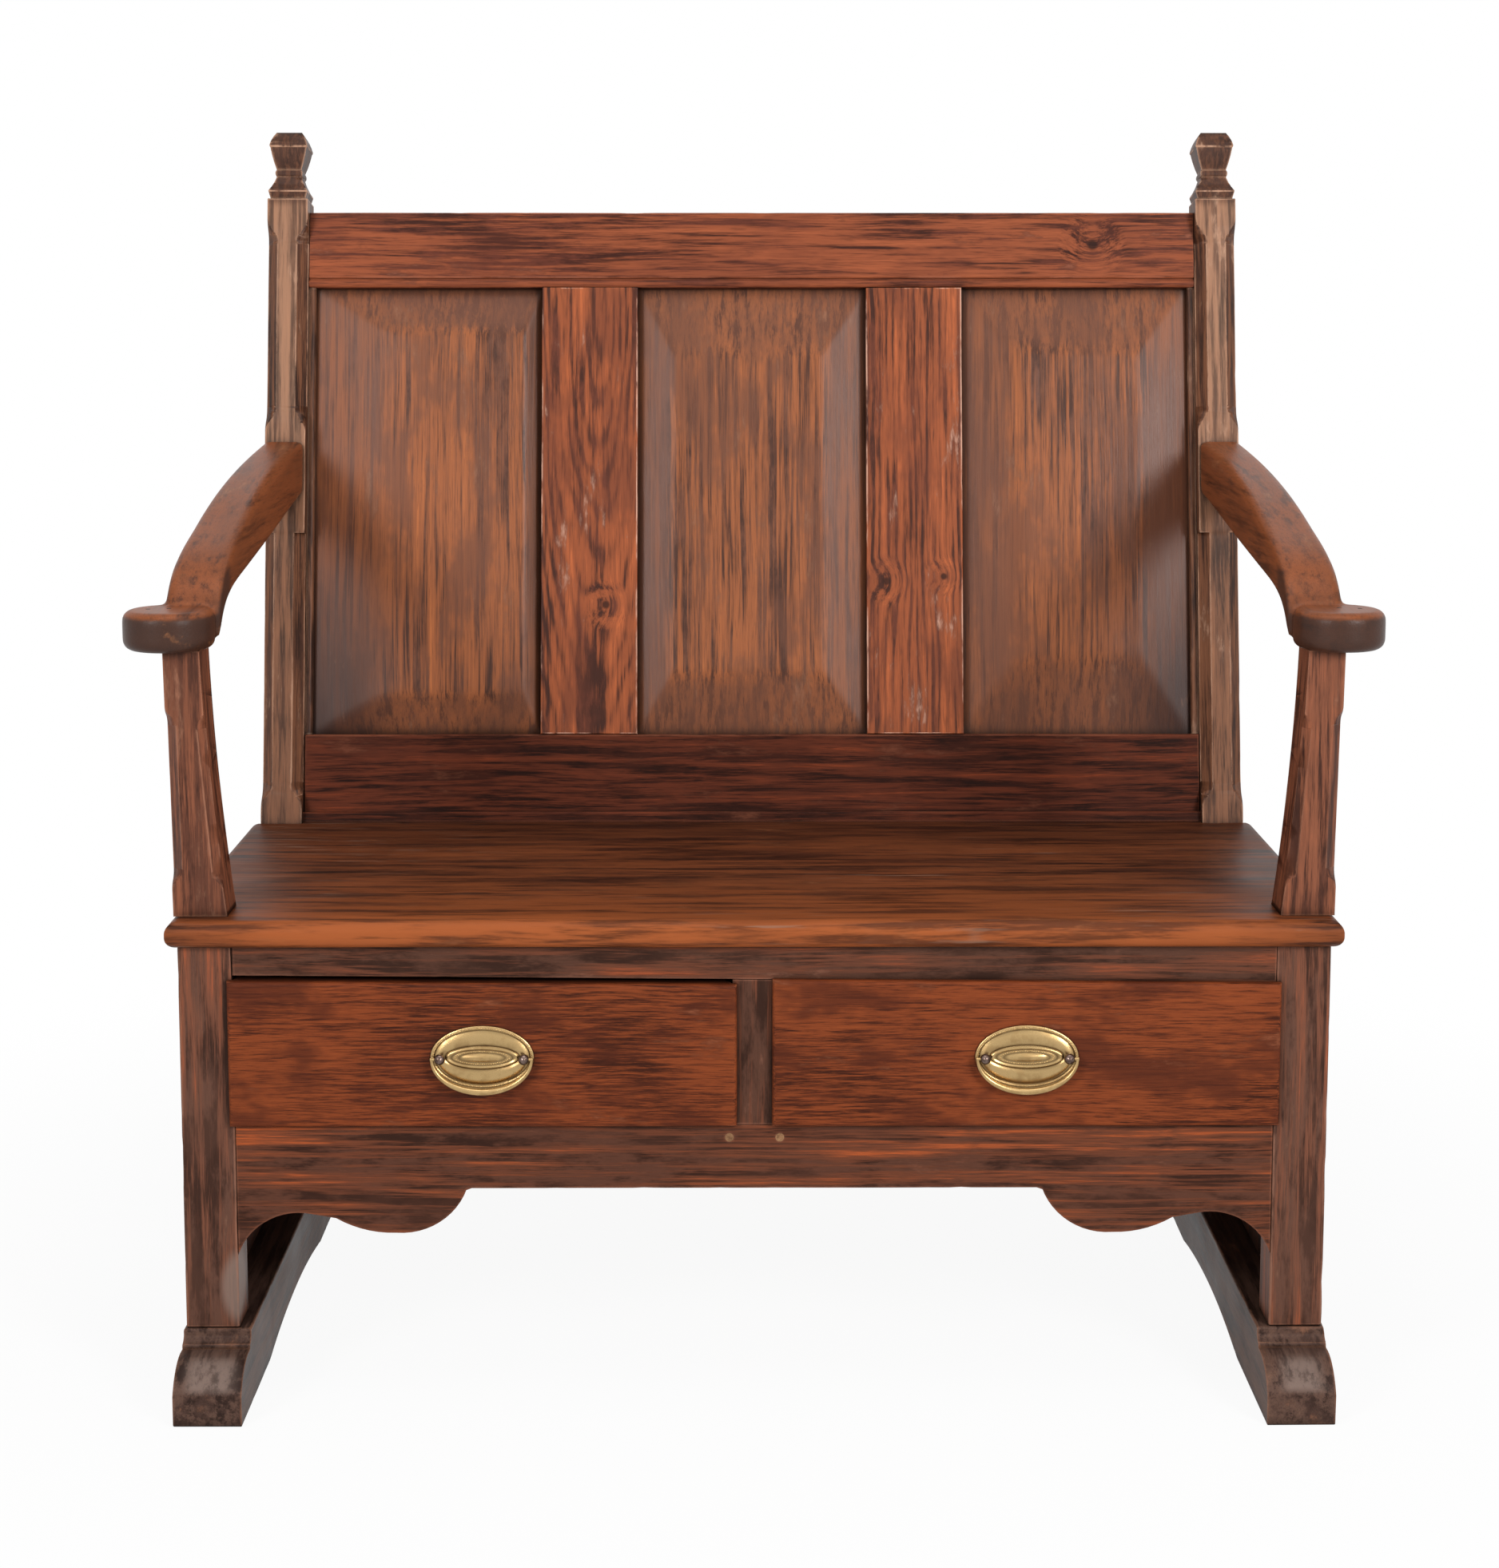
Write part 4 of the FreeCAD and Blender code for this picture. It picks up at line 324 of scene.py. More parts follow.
def rubbed_post_and_sheen(finish, place, flame, cloud):
    """Pale front faces above the seat, partly handling wear and partly a painted sheen where they face the front,
    and the darker finial.
    """
    rise = finish.split(place)[2]
    # Faces that look to the front get the pale colour: handling wear together with a painted sheen.
    facing = finish.vector("DOT_PRODUCT", finish.node("NewGeometry").outputs["Normal"],
                           (0, -math.cos(RAKE), math.sin(RAKE)))
    front = finish.spread(facing, 0.93, 0.99)
    above = finish.sum("MULTIPLY", finish.spread(rise, 0.7, 0.9, 0.12, 0.5),
                       finish.spread(rise, 1.1, 1.115, 1.0, 0.0))
    handled_and_sheen = finish.sum("MULTIPLY", above, finish.spread(flame, 0.36, 0.58, 0.25, 1.0))
    return [(tint(186, 140, 110), finish.sum("MULTIPLY", handled_and_sheen, front)),
            (tint(62, 39, 30), finish.spread(rise, 1.1, 1.12, 0.0, 0.5))]


def grimed_panel(finish, place, flame, cloud):
    """Painted shadow of the arms on the low outer corners of the back."""
    parts = finish.split(place)
    outer = finish.spread(finish.sum("ABSOLUTE", parts[0]), 0.33, 0.46)
    low = finish.spread(parts[2], 0.56, 0.82, 1.0, 0.0)
    share = finish.sum("MULTIPLY", finish.sum("MULTIPLY", outer, low), finish.spread(cloud, 0.3, 0.6, 0.5, 0.95))
    # Painted shadow colour, strongest in the low outer corners.
    return [(tint(48, 26, 19), share)]


def rubbed_toe(finish, place, flame, cloud):
    """A scuffed grey patch on the rolled front of each toe."""
    parts = finish.split(place)
    across = finish.sum("ABSOLUTE", finish.sum("SUBTRACT", finish.sum("ABSOLUTE", parts[0]), 0.4935))
    middle = finish.spread(finish.sum("MULTIPLY_ADD", cloud, 0.03, across), 0.026, 0.042, 1.0, 0.0)
    roll = finish.sum("MULTIPLY", finish.spread(parts[2], 0.028, 0.036),
                      finish.spread(parts[2], 0.05, 0.055, 1.0, 0.0))
    front = finish.spread(parts[1], -0.285, -0.28, 1.0, 0.0)
    scuffed = finish.sum("MULTIPLY", finish.sum("MULTIPLY", middle, roll), front)
    ragged = finish.spread(flame, 0.36, 0.56, 0.25, 0.6)
    return [(tint(134, 116, 107), finish.sum("MULTIPLY", scuffed, ragged))]


def chipped_stile(finish, place, flame, cloud):
    """A bruised and paler inner edge low on the left stile."""
    away = finish.vector("MULTIPLY", finish.vector("SUBTRACT", place, (-0.4735, -0.265, 0.108)), (60, 30, 28))
    near = finish.sum("MULTIPLY_ADD", finish.sum("SUBTRACT", cloud, 0.5), 1.2, finish.vector("LENGTH", away))
    return [(tint(126, 106, 96), finish.spread(near, 0.5, 1.0, 0.75, 0.0))]


def rubbed_arm(finish, place, flame, cloud):
    """The dark rim of the hand grip below its rubbed top edge."""
    parts = finish.split(place)
    face = finish.node("NewGeometry").outputs["Normal"]
    upright = finish.spread(finish.split(face)[2], 0.2, 0.7, 1.0, 0.0)
    grip = finish.sum("MULTIPLY", finish.spread(parts[1], -0.19, -0.17, 1.0, 0.0), upright)
    dull = finish.sum("MULTIPLY", grip, finish.spread(cloud, 0.3, 0.6, 0.65, 0.95))
    return [(tint(56, 38, 31), dull)]


KNOTS = {
    "back_top_rail": [(on_back(367, 13, 620), 0.008)],
    "back_muntin_left": [(on_back(-156, 13, 232), 0.006)],
    "back_muntin_right": [(on_back(144, 13, 257), 0.006), (on_back(205, 13, 262), 0.005)],
}

# Where the growth rings of a board go round, from its middle, and how they lean along the grain
HEARTS = {
    "back_muntin_left": (Vector((0.01, 0.02, 0)), 0.14),
    "back_muntin_right": (Vector((0.3, 0.06, 0)), 0.02),
}
# Extra marks of each piece: real wear, painted shade on the back panels and the seat, and a painted sheen on the
# posts.
WEAR_AND_SHADE = {
    "back_panel_left": grimed_panel,
    "back_panel_right": grimed_panel,
    "seat_board": rubbed_and_shaded_seat,
    "rear_post_left": rubbed_post_and_sheen,
    "rear_post_right": rubbed_post_and_sheen,
    "sledge_foot_left": rubbed_toe,
    "sledge_foot_right": rubbed_toe,
    "front_stile_left": chipped_stile,
    "arm_left": rubbed_arm,
    "arm_right": rubbed_arm,
}

# Pieces that share a kind of wood: kind, run of the grain, and the nodes
WOODEN = [
    ("panel", "raked", ["back_panel_left", "back_panel_centre", "back_panel_right"]),
    ("muntin", "raked", ["back_muntin_left", "back_muntin_right"]),
    ("back_rail", "across", ["back_top_rail"]),
    ("low_rail", "across", ["back_bottom_rail", "seat_strip"]),
    ("seat", "across", ["seat_board"]),
    ("front", "across", ["front_top_rail"]),
    ("apron", "across", ["apron_rail"]),
    ("stile", "upright", ["front_stile_left", "front_stile_right"]),
    ("front", "upright", ["drawer_divider", "end_board_left", "end_board_right"]),
    ("drawer", "across", ["left_drawer_front", "right_drawer_front"]),
    ("arm", "deep", ["arm_left", "arm_right"]),
    ("support", "upright", ["arm_support_left", "arm_support_right"]),
    ("post", "raked", ["rear_post_left", "rear_post_right", "panel_bead_left", "panel_bead_right"]),
    ("foot", "deep", ["sledge_foot_left", "sledge_foot_right"]),
    ("inside", "across", ["rear_board", "left_drawer_back", "right_drawer_back", "left_drawer_bottom",
                          "right_drawer_bottom"]),
    ("inside", "deep", ["drawer_runner_left", "drawer_runner_centre", "drawer_runner_right", "kicker_left",
                        "kicker_centre", "kicker_right", "left_drawer_inner_side", "left_drawer_outer_side",
                        "right_drawer_inner_side", "right_drawer_outer_side", "runner_pegs"]),
]

# Wooden pieces with their long arrises worn round: node, run, slot, arris and nick in millimetres
WORN = [
    ("front_stile_left", "upright", "frame_wood", 2.0, 1.6),
    ("front_stile_right", "upright", "frame_wood", 2.0, 1.6),
    ("rear_post_left", "upright", "frame_wood", 1.2, 0.8),
    ("rear_post_right", "upright", "frame_wood", 1.2, 0.8),
    ("back_top_rail", "across", "frame_wood", 1.2, 0.8),
    ("back_bottom_rail", "across", "frame_wood", 2.2, 1.4),
    ("back_muntin_left", "raked", "frame_wood", 1.6, 1.0),
    ("back_muntin_right", "raked", "frame_wood", 1.6, 1.0),
    ("front_top_rail", "across", "frame_wood", 1.2, 1.0),
    ("drawer_divider", "upright", "frame_wood", 1.0, 0.8),
    ("apron_rail", "across", "frame_wood", 1.6, 1.4),
    ("seat_board", "across", "seat_wood", 2.0, 2.2),
    ("arm_support_left", "upright", "frame_wood", 1.4, 0.2),
    ("arm_support_right", "upright", "frame_wood", 1.4, 0.2),
    ("sledge_foot_left", "deep", "foot_wood", 2.2, 2.2),
    ("sledge_foot_right", "deep", "foot_wood", 2.2, 2.2),
    ("left_drawer_front", "across", "drawer_wood", 0.8, 0.7),
    ("right_drawer_front", "across", "drawer_wood", 0.8, 0.7),
]


def brass():
    """Worn brass: brown in the hollows, brighter where hands and polish reach."""
    finish = Finish("brass")
    place = finish.place()
    tarnish = finish.noise(place, 90.0, 4.0, 0.6)
    fine = finish.noise(place, 1400.0, 2.0, 0.6)
    hollow = finish.node("Attribute", attribute_name="hollow").outputs["Fac"]
    dark = finish.spread(finish.sum("MULTIPLY_ADD", fine, 0.2, tarnish), 0.5, 0.8, 0.0, 0.5)
    colour = finish.mix(dark, tint(186, 156, 108), tint(132, 102, 64))
    colour = finish.mix(finish.sum("MULTIPLY", hollow, 0.85), colour, tint(72, 50, 28))
    rough = finish.spread(tarnish, 0.3, 0.8, 0.24, 0.42)
    normal = finish.bump(fine, 0.0002, 0.2)
    return finish.surface(Base_Color=colour, Roughness=rough, Normal=normal, Metallic=1.0)


def iron():
    """Iron with patches of rust, for nails and nuts."""
    finish = Finish("iron")
    rust = finish.noise(finish.place(), 400.0, 3.0, 0.6)
    colour = finish.mix(finish.spread(rust, 0.4, 0.7), tint(52, 44, 40), tint(88, 58, 42))
    rough = finish.spread(rust, 0.3, 0.8, 0.45, 0.7)
    return finish.surface(Base_Color=colour, Roughness=rough, Metallic=0.7)


def dark_brass():
    """The ball heads of the pull posts, gone grey-brown."""
    finish = Finish("dark_brass")
    film = finish.noise(finish.place(), 300.0, 3.0, 0.6)
    colour = finish.mix(finish.spread(film, 0.35, 0.7), tint(118, 100, 92), tint(70, 54, 46))
    rough = finish.spread(film, 0.3, 0.8, 0.25, 0.45)
    return finish.surface(Base_Color=colour, Roughness=rough, Metallic=1.0)


def whole(name):
    """The mesh of a CAD node with its loose triangles merged and its flat faces made whole."""
    shape = bmesh.new()
    shape.from_mesh(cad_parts[name].data)
    bmesh.ops.remove_doubles(shape, verts=shape.verts, dist=1e-5)
    bmesh.ops.dissolve_limit(shape, angle_limit=math.radians(0.5), verts=shape.verts, edges=shape.edges)
    return shape


def finished(name, shape, body, node, material, sharp_angle=40):
    """Turn a shape into a piece that stands for a CAD node, with even shading on its broad faces."""
    mesh = bpy.data.meshes.new(name)
    shape.to_mesh(mesh)
    shape.free()
    mesh.shade_smooth()
    mesh.set_sharp_from_angle(angle=math.radians(sharp_angle))
    mesh.materials.append(material)
    piece = bpy.data.objects.new(name, mesh)
    bpy.context.scene.collection.objects.link(piece)
    even = piece.modifiers.new("even", "WEIGHTED_NORMAL")
    even.keep_sharp = True
    piece.data = evaluated(piece)
    piece.modifiers.clear()
    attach(piece, body)
    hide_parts(node)
    return piece


def evaluated(piece):
    """The piece's mesh with its modifiers carried out."""
    bpy.context.view_layer.update()
    graph = bpy.context.evaluated_depsgraph_get()
    return bpy.data.meshes.new_from_object(piece.evaluated_get(graph))


def aged(name, run, material, body, arris, nick, shortest):
    """A wooden piece with its long arrises rounded and knocked about by use."""
    shape = whole(name)
    strip = shape.verts.layers.float.new("strip")
    rounded = shape.faces.layers.float.new("arris")
    long_edges = [edge for edge in shape.edges
                  if edge.calc_length() > shortest * MILLIMETRE
                  and edge.calc_face_angle_signed(0) > SHARP_CORNER]
    bevel = bmesh.ops.bevel(shape, geom=long_edges, offset=arris * MILLIMETRE, offset_type="OFFSET",
                            segments=3, profile=0.6, affect="EDGES", clamp_overlap=False)
    shape.normal_update()
    for face in bevel["faces"]:
        face[rounded] = 1.0 if abs(face.normal.dot(RUN[run])) < 0.5 else 0.0
        for vertex in face.verts:
            vertex[strip] = 1.0
    along = RUN[run]
    reach = [vertex.co.dot(along) for vertex in shape.verts]
    place = min(reach) + WEAR_PITCH
    while place < max(reach):
        everything = shape.verts[:] + shape.edges[:] + shape.faces[:]
        bmesh.ops.bisect_plane(shape, geom=everything, dist=1e-6, plane_co=along * place, plane_no=along)
        place += WEAR_PITCH
    strip = shape.verts.layers.float["strip"]
    shape.normal_update()
    start = Vector((len(name), 7, 3))
    for vertex in shape.verts:
        wobble = noise.noise_vector(vertex.co * WOBBLE_SCALE + start) * WOBBLE
        dent = max(0.0, noise.noise(vertex.co * DENT_SCALE + start) - DENT_LEVEL)
        dent = dent * nick * MILLIMETRE * vertex[strip]
        vertex.co += wobble - vertex.normal * dent
        vertex.co.z = max(vertex.co.z, 0.0)
    return finished(f"{name}_worn", shape, body, name, material)


FIELD = 14.5
TONGUE = 26
PANEL_BACK = 31
PANEL_PITCH = 3
PANEL_RISE = (94, 574)
PANEL_ENDS = (86.3, 581.7)
TONGUE_SLACK = 0.6

# Sight size of each panel in millimetres, and for each side the width of its bevel and how soft it ends
PANELS = {
    "left": dict(across=(-469, -225.5), left=(85, 4.0), right=(19, 0.6), top=(52, 0.9), bottom=(46, 1.6)),
    "centre": dict(across=(-122.5, 122.5), left=(40, 0.7), right=(48, 0.7), top=(76, 0.7), bottom=(68, 0.7)),
    "right": dict(across=(225.5, 469), left=(60, 2.2), right=(55, 0.5), top=(73, 0.7), bottom=(85, 1.3)),
}


def soft_most(first, second, soft):
    """The larger of two numbers, with the corner between them rounded over."""
    near = max(soft - abs(first - second), 0) / soft
    return max(first, second) + near * near * soft / 4


def panel(name, material):
    """A fielded panel with hand-planed bevels of uneven width round its field."""
    facts = PANELS[name]
    node = f"back_panel_{name}"
    low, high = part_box(node)
    left, right = facts["across"]
    bottom, top = PANEL_RISE
    foot, head = PANEL_ENDS
    columns = round((high.x - low.x) / MILLIMETRE / PANEL_PITCH)
    rows = round((head - foot) / PANEL_PITCH)
    fall = TONGUE - FIELD

    def depth(x, rise):
        spot = Vector((x, rise, ord(name[0]))) * 0.01
        level = FIELD + 0.35 * noise.noise(spot * 1.7)
        inset = {"left": x - left, "right": right - x, "top": top - rise, "bottom": rise - bottom}
        for side, inward in inset.items():
            width, soft = facts[side]
            width *= 1 + 0.07 * noise.noise(spot * 0.8 + Vector((len(side), 0, 5)))
            level = soft_most(level, TONGUE - fall * inward / width, soft)
        return min(level, TONGUE + TONGUE_SLACK)

    shape = bmesh.new()
    bevel = shape.verts.layers.float.new("bevel")
    grid = []
    for row in range(rows + 1):
        rise = foot + (head - foot) * row / rows
        line = []
        for column in range(columns + 1):
            x = (low.x + (high.x - low.x) * column / columns) / MILLIMETRE
            level = depth(x, rise)
            line.append(shape.verts.new(on_back(x, level, rise)))
            line[-1][bevel] = min(max((level - FIELD - 0.6) / 2.5, 0.0), 1.0)
        grid.append(line)
    for lower, upper in zip(grid, grid[1:]):
        for a, b, c, d in zip(lower, lower[1:], upper[1:], upper):
            shape.faces.new((a, b, c, d))
    rim = grid[0][:-1] + [line[-1] for line in grid[:-1]] + grid[-1][:0:-1] + [line[0] for line in grid[:0:-1]]
    behind = [shape.verts.new(vertex.co) for vertex in rim]
    count = len(rim)
    normal = Vector((0, math.cos(RAKE), -math.sin(RAKE)))
    face_origin = on_back(0, PANEL_BACK, 0)
    for vertex in behind:
        vertex.co += normal * (face_origin - vertex.co).dot(normal)
    for i in range(count):
        j = (i + 1) % count
        shape.faces.new((rim[j], rim[i], behind[i], behind[j]))
    shape.faces.new(behind[::-1])
    bmesh.ops.recalc_face_normals(shape, faces=shape.faces)
    return finished(f"{node}_fielded", shape, "frame", node, material, 50)


OVAL_STEPS = 120

# Section of the stamped plate from its rim to its middle: half width, half height and height in millimetres,
# and how dark its hollows have gone
PLATE_SECTION = [
    (47.0, 29.5, 0.0, 0.6), (47.0, 29.5, 1.1, 0.2), (46.4, 28.9, 1.8, 0), (45.2, 27.7, 2.2, 0),
    (43.9, 26.4, 1.8, 0.1), (43.1, 25.5, 1.0, 0.9), (42.2, 24.5, 1.3, 0.3), (40.5, 22.0, 2.3, 0),
    (38.0, 17.5, 3.0, 0), (36.0, 14.0, 2.8, 0.1), (34.5, 12.0, 1.9, 0.5), (33.6, 11.0, 1.4, 0.95),
    (32.8, 10.2, 2.0, 0.5), (31.8, 9.2, 2.9, 0), (30.6, 8.3, 2.7, 0), (29.2, 7.5, 2.0, 0.5), (27.5, 6.9, 1.8, 0.9),
    (25.8, 6.3, 2.3, 0.2), (23.2, 5.5, 2.5, 0.1), (21.0, 4.7, 2.0, 0.8), (18.5, 3.8, 2.2, 0.3), (16.5, 3.2, 3.0, 0),
    (9.0, 1.7, 3.8, 0),
]
PLATE_CROWN = 4.0
MILLED = dict(Width=44.6, Height=27.1, Count=168, Stand=2.0, Long=0.55, Wide=1.5)
BEADED = dict(Width=24.5, Height=5.9, Count=52, Stand=2.4, Long=0.8, Wide=0.8)
POST_SECTION = [
    (0.0, 2.0), (0.0, 3.6), (1.4, 3.9), (2.3, 3.4), (2.8, 2.4), (3.6, 2.3), (4.2, 3.2), (5.2, 4.3), (6.4, 4.85),
    (7.5, 5.0), (8.7, 4.8), (9.9, 4.1), (11.0, 3.0), (11.8, 1.6),
]
POST_NOSE = 12.2
POST_STEPS = 28
SHANK_RADIUS = 2.0

# The bail in millimetres: half width, drop, radius at its ends and swell to its middle, and its two pins as
# places along the axis with their radii
BAIL_STEPS = 48
BAIL_HALF = 45.0
BAIL_DROP = 30.4
BAIL_RADIUS = 1.7
BAIL_SWELL = 1.5
BAIL_PIN = [(36.0, 1.3), (38.0, 1.3), (44.0, 1.5), (46.4, 1.7), (46.9, 1.0)]
ARM_SKIN = 2.2


def turned(shape, centre, stations, nose, steps):
    """Rings round an axis that points to the front, from the back to a middle point; closed at the back."""
    hollow = shape.verts.layers.float.get("hollow") or shape.verts.layers.float.new("hollow")
    rings = []
    for half_width, half_height, stand, dark in stations:
        ring = []
        for step in range(steps):
            angle = 2 * math.pi * step / steps
            offset = Vector((half_width * math.cos(angle), -stand, half_height * math.sin(angle)))
            ring.append(shape.verts.new(centre + offset * MILLIMETRE))
            ring[-1][hollow] = dark
        rings.append(ring)
    tip = shape.verts.new(centre + Vector((0, -nose, 0)) * MILLIMETRE)
    shape.faces.new(rings[0][::-1])
    for outer, inner in zip(rings, rings[1:]):
        for step in range(steps):
            after = (step + 1) % steps
            shape.faces.new((outer[step], outer[after], inner[after], inner[step]))
    for step in range(steps):
        shape.faces.new((rings[-1][step], rings[-1][(step + 1) % steps], tip))


def oval_row_tree():
    """Geometry nodes that set small rounded bosses at even steps round an oval that faces the front."""
    tree = bpy.data.node_groups.new("oval_row", "GeometryNodeTree")
    for name, kind in (("Width", "NodeSocketFloat"), ("Height", "NodeSocketFloat"), ("Count", "NodeSocketInt"),
                       ("Stand", "NodeSocketFloat"), ("Long", "NodeSocketFloat"), ("Wide", "NodeSocketFloat"),
                       ("Centre", "NodeSocketVector"), ("Metal", "NodeSocketMaterial")):
        tree.interface.new_socket(name, in_out="INPUT", socket_type=kind)
    tree.interface.new_socket("Geometry", in_out="OUTPUT", socket_type="NodeSocketGeometry")

    def node(kind, **settings):
        made = tree.nodes.new(kind)
        for key, value in settings.items():
            setattr(made, key, value)
        return made

    def join(start, end):
        tree.links.new(start, end)

    given = node("NodeGroupInput").outputs
    oval = node("GeometryNodeCurvePrimitiveCircle")
    oval.inputs["Resolution"].default_value = 256
    oval.inputs["Radius"].default_value = 1.0
    size = node("ShaderNodeCombineXYZ")
    join(given["Width"], size.inputs[0])
    join(given["Height"], size.inputs[1])
    size.inputs[2].default_value = 1.0
    scaled = node("GeometryNodeTransform")
    join(oval.outputs[0], scaled.inputs["Geometry"])
    join(size.outputs[0], scaled.inputs["Scale"])
    points = node("GeometryNodeCurveToPoints", mode="COUNT")
    join(scaled.outputs[0], points.inputs["Curve"])
    join(given["Count"], points.inputs["Count"])
    aligned = node("FunctionNodeAlignRotationToVector", axis="X", pivot_axis="Z")
    join(points.outputs["Tangent"], aligned.inputs["Vector"])
    boss = node("GeometryNodeMeshIcoSphere")
    boss.inputs["Radius"].default_value = 1.0
    boss.inputs["Subdivisions"].default_value = 1
    measure = node("ShaderNodeCombineXYZ")
    join(given["Long"], measure.inputs[0])
    join(given["Wide"], measure.inputs[1])
    join(given["Long"], measure.inputs[2])
    rows = node("GeometryNodeInstanceOnPoints")
    join(points.outputs["Points"], rows.inputs["Points"])
    join(boss.outputs["Mesh"], rows.inputs["Instance"])
    join(aligned.outputs[0], rows.inputs["Rotation"])
    join(measure.outputs[0], rows.inputs["Scale"])
    lifted = node("ShaderNodeCombineXYZ")
    join(given["Stand"], lifted.inputs[2])
    raised = node("GeometryNodeTransform")
    join(rows.outputs[0], raised.inputs["Geometry"])
    join(lifted.outputs[0], raised.inputs["Translation"])
    facing = node("GeometryNodeTransform")
    join(raised.outputs[0], facing.inputs["Geometry"])
    facing.inputs["Rotation"].default_value = (math.pi / 2, 0, 0)
    facing.inputs["Scale"].default_value = (MILLIMETRE, MILLIMETRE, MILLIMETRE)
    placed = node("GeometryNodeTransform")
    join(facing.outputs[0], placed.inputs["Geometry"])
    join(given["Centre"], placed.inputs["Translation"])
    real = node("GeometryNodeRealizeInstances")
    join(placed.outputs[0], real.inputs[0])
    smooth = node("GeometryNodeSetShadeSmooth")
    join(real.outputs[0], smooth.inputs[0])
    coated = node("GeometryNodeSetMaterial")
    join(smooth.outputs[0], coated.inputs["Geometry"])
    join(given["Metal"], coated.inputs["Material"])
    join(coated.outputs[0], node("NodeGroupOutput").inputs[0])
    return tree


def oval_row(tree, name, side, values, metal):
    """One row of bosses on a pull's plate, as a plain mesh piece that rides on the drawer."""
    piece = bpy.data.objects.new(name, bpy.data.meshes.new(name))
    bpy.context.scene.collection.objects.link(piece)
    row = piece.modifiers.new("row", "NODES")
    row.node_group = tree
    sockets = {item.name: item.identifier for item in tree.interface.items_tree if item.in_out == "INPUT"}
    for key, value in values.items():
        row[sockets[key]] = value
    row[sockets["Centre"]] = (PULL_CENTRE[side], DRAWER_FACE, PULL_HEIGHT)
    row[sockets["Metal"]] = metal
    piece.data = evaluated(piece)
    piece.modifiers.clear()
    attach(piece, f"{side}_drawer")
    return piece


def rod(shape, path, radii, sides=14):
    """A round rod that follows a path in an upright plane across the drawer, closed at both ends."""
    rings = []
    for index, (spot, radius) in enumerate(zip(path, radii)):
        ahead = path[min(index + 1, len(path) - 1)] - path[max(index - 1, 0)]
        along = ahead.normalized()
        aside = Vector((0, 1, 0))
        other = along.cross(aside).normalized()
        ring = []
        for step in range(sides):
            angle = 2 * math.pi * step / sides
            ring.append(shape.verts.new(spot + (aside * math.cos(angle) + other * math.sin(angle)) * radius))
        rings.append(ring)
    for before, after in zip(rings, rings[1:]):
        for step in range(sides):
            shape.faces.new((before[step], before[(step + 1) % sides], after[(step + 1) % sides], after[step]))
    shape.faces.new(rings[0][::-1])
    shape.faces.new(rings[-1])


def pull(side, tree, metal):
    """Stamped oval plate with milled rim and bead row, two ball-headed posts and a swelling bail."""
    plate_centre = Vector((PULL_CENTRE[side], DRAWER_FACE, PULL_HEIGHT))
    drawer = f"{side}_drawer"
    shape = bmesh.new()
    turned(shape, plate_centre, PLATE_SECTION, PLATE_CROWN, OVAL_STEPS)
    bmesh.ops.recalc_face_normals(shape, faces=shape.faces)
    finished(f"{side}_pull_plate_stamped", shape, drawer, f"{side}_pull_backplate", metal["brass"], 60)
    oval_row(tree, f"{side}_pull_rim_milling", side, MILLED, metal["brass"])
    oval_row(tree, f"{side}_pull_bead_row", side, BEADED, metal["brass"])

    shape = bmesh.new()
    shank = (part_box(f"{side}_pull_posts")[1].y - DRAWER_FACE) / MILLIMETRE
    for offset in (-POST_SPACING / 2, POST_SPACING / 2):
        centre = plate_centre + Vector((offset * MILLIMETRE, 0, 0))
        stations = [(SHANK_RADIUS, SHANK_RADIUS, -shank, 0)]
        stations += [(radius, radius, stand, 0) for stand, radius in POST_SECTION]
        turned(shape, centre, stations, POST_NOSE, POST_STEPS)
    bmesh.ops.recalc_face_normals(shape, faces=shape.faces)
    finished(f"{side}_pull_posts_turned", shape, drawer, f"{side}_pull_posts", metal["dark"], 50)

    shape = bmesh.new()
    axis = Vector((PULL_CENTRE[side], BAIL_AXIS, PULL_HEIGHT))
    path, radii = [], []
    for step in range(BAIL_STEPS + 1):
        angle = math.pi * step / BAIL_STEPS
        spot = Vector((BAIL_HALF * math.cos(angle), 0, -BAIL_DROP * math.sin(angle)))
        path.append(axis + spot * MILLIMETRE)
        radii.append((BAIL_RADIUS + BAIL_SWELL * math.sin(angle) ** 1.5) * MILLIMETRE)
    rod(shape, path, radii)
    for hand in (-1, 1):
        path = [axis + Vector((hand * x, 0, 0)) * MILLIMETRE for x, radius in BAIL_PIN]
        rod(shape, path, [radius * MILLIMETRE for x, radius in BAIL_PIN])
    bmesh.ops.recalc_face_normals(shape, faces=shape.faces)
    finished(f"{side}_pull_bail_forged", shape, f"{side}_bail", f"{side}_pull_bail", metal["brass"], 50)


def eased(name, material):
    """An arm with the hollow where its bar runs into the hand grip dressed smooth."""
    shape = whole(name)
    mesh = bpy.data.meshes.new(name)
    shape.to_mesh(mesh)
    shape.free()
    piece = bpy.data.objects.new(name, mesh)
    bpy.context.scene.collection.objects.link(piece)
    skin = piece.modifiers.new("skin", "REMESH")
    skin.mode = "VOXEL"
    skin.voxel_size = ARM_SKIN * MILLIMETRE
    dressed = piece.modifiers.new("dressed", "SMOOTH")
    dressed.factor = 0.5
    dressed.iterations = 8
    shape = bmesh.new()
    shape.from_mesh(evaluated(piece))
    bpy.data.objects.remove(piece)
    return finished(f"{name}_dressed", shape, "frame", name, material, 60)


def give(node, material):
    """Set a CAD node's one material."""
    node.data.materials.clear()
    node.data.materials.append(material)


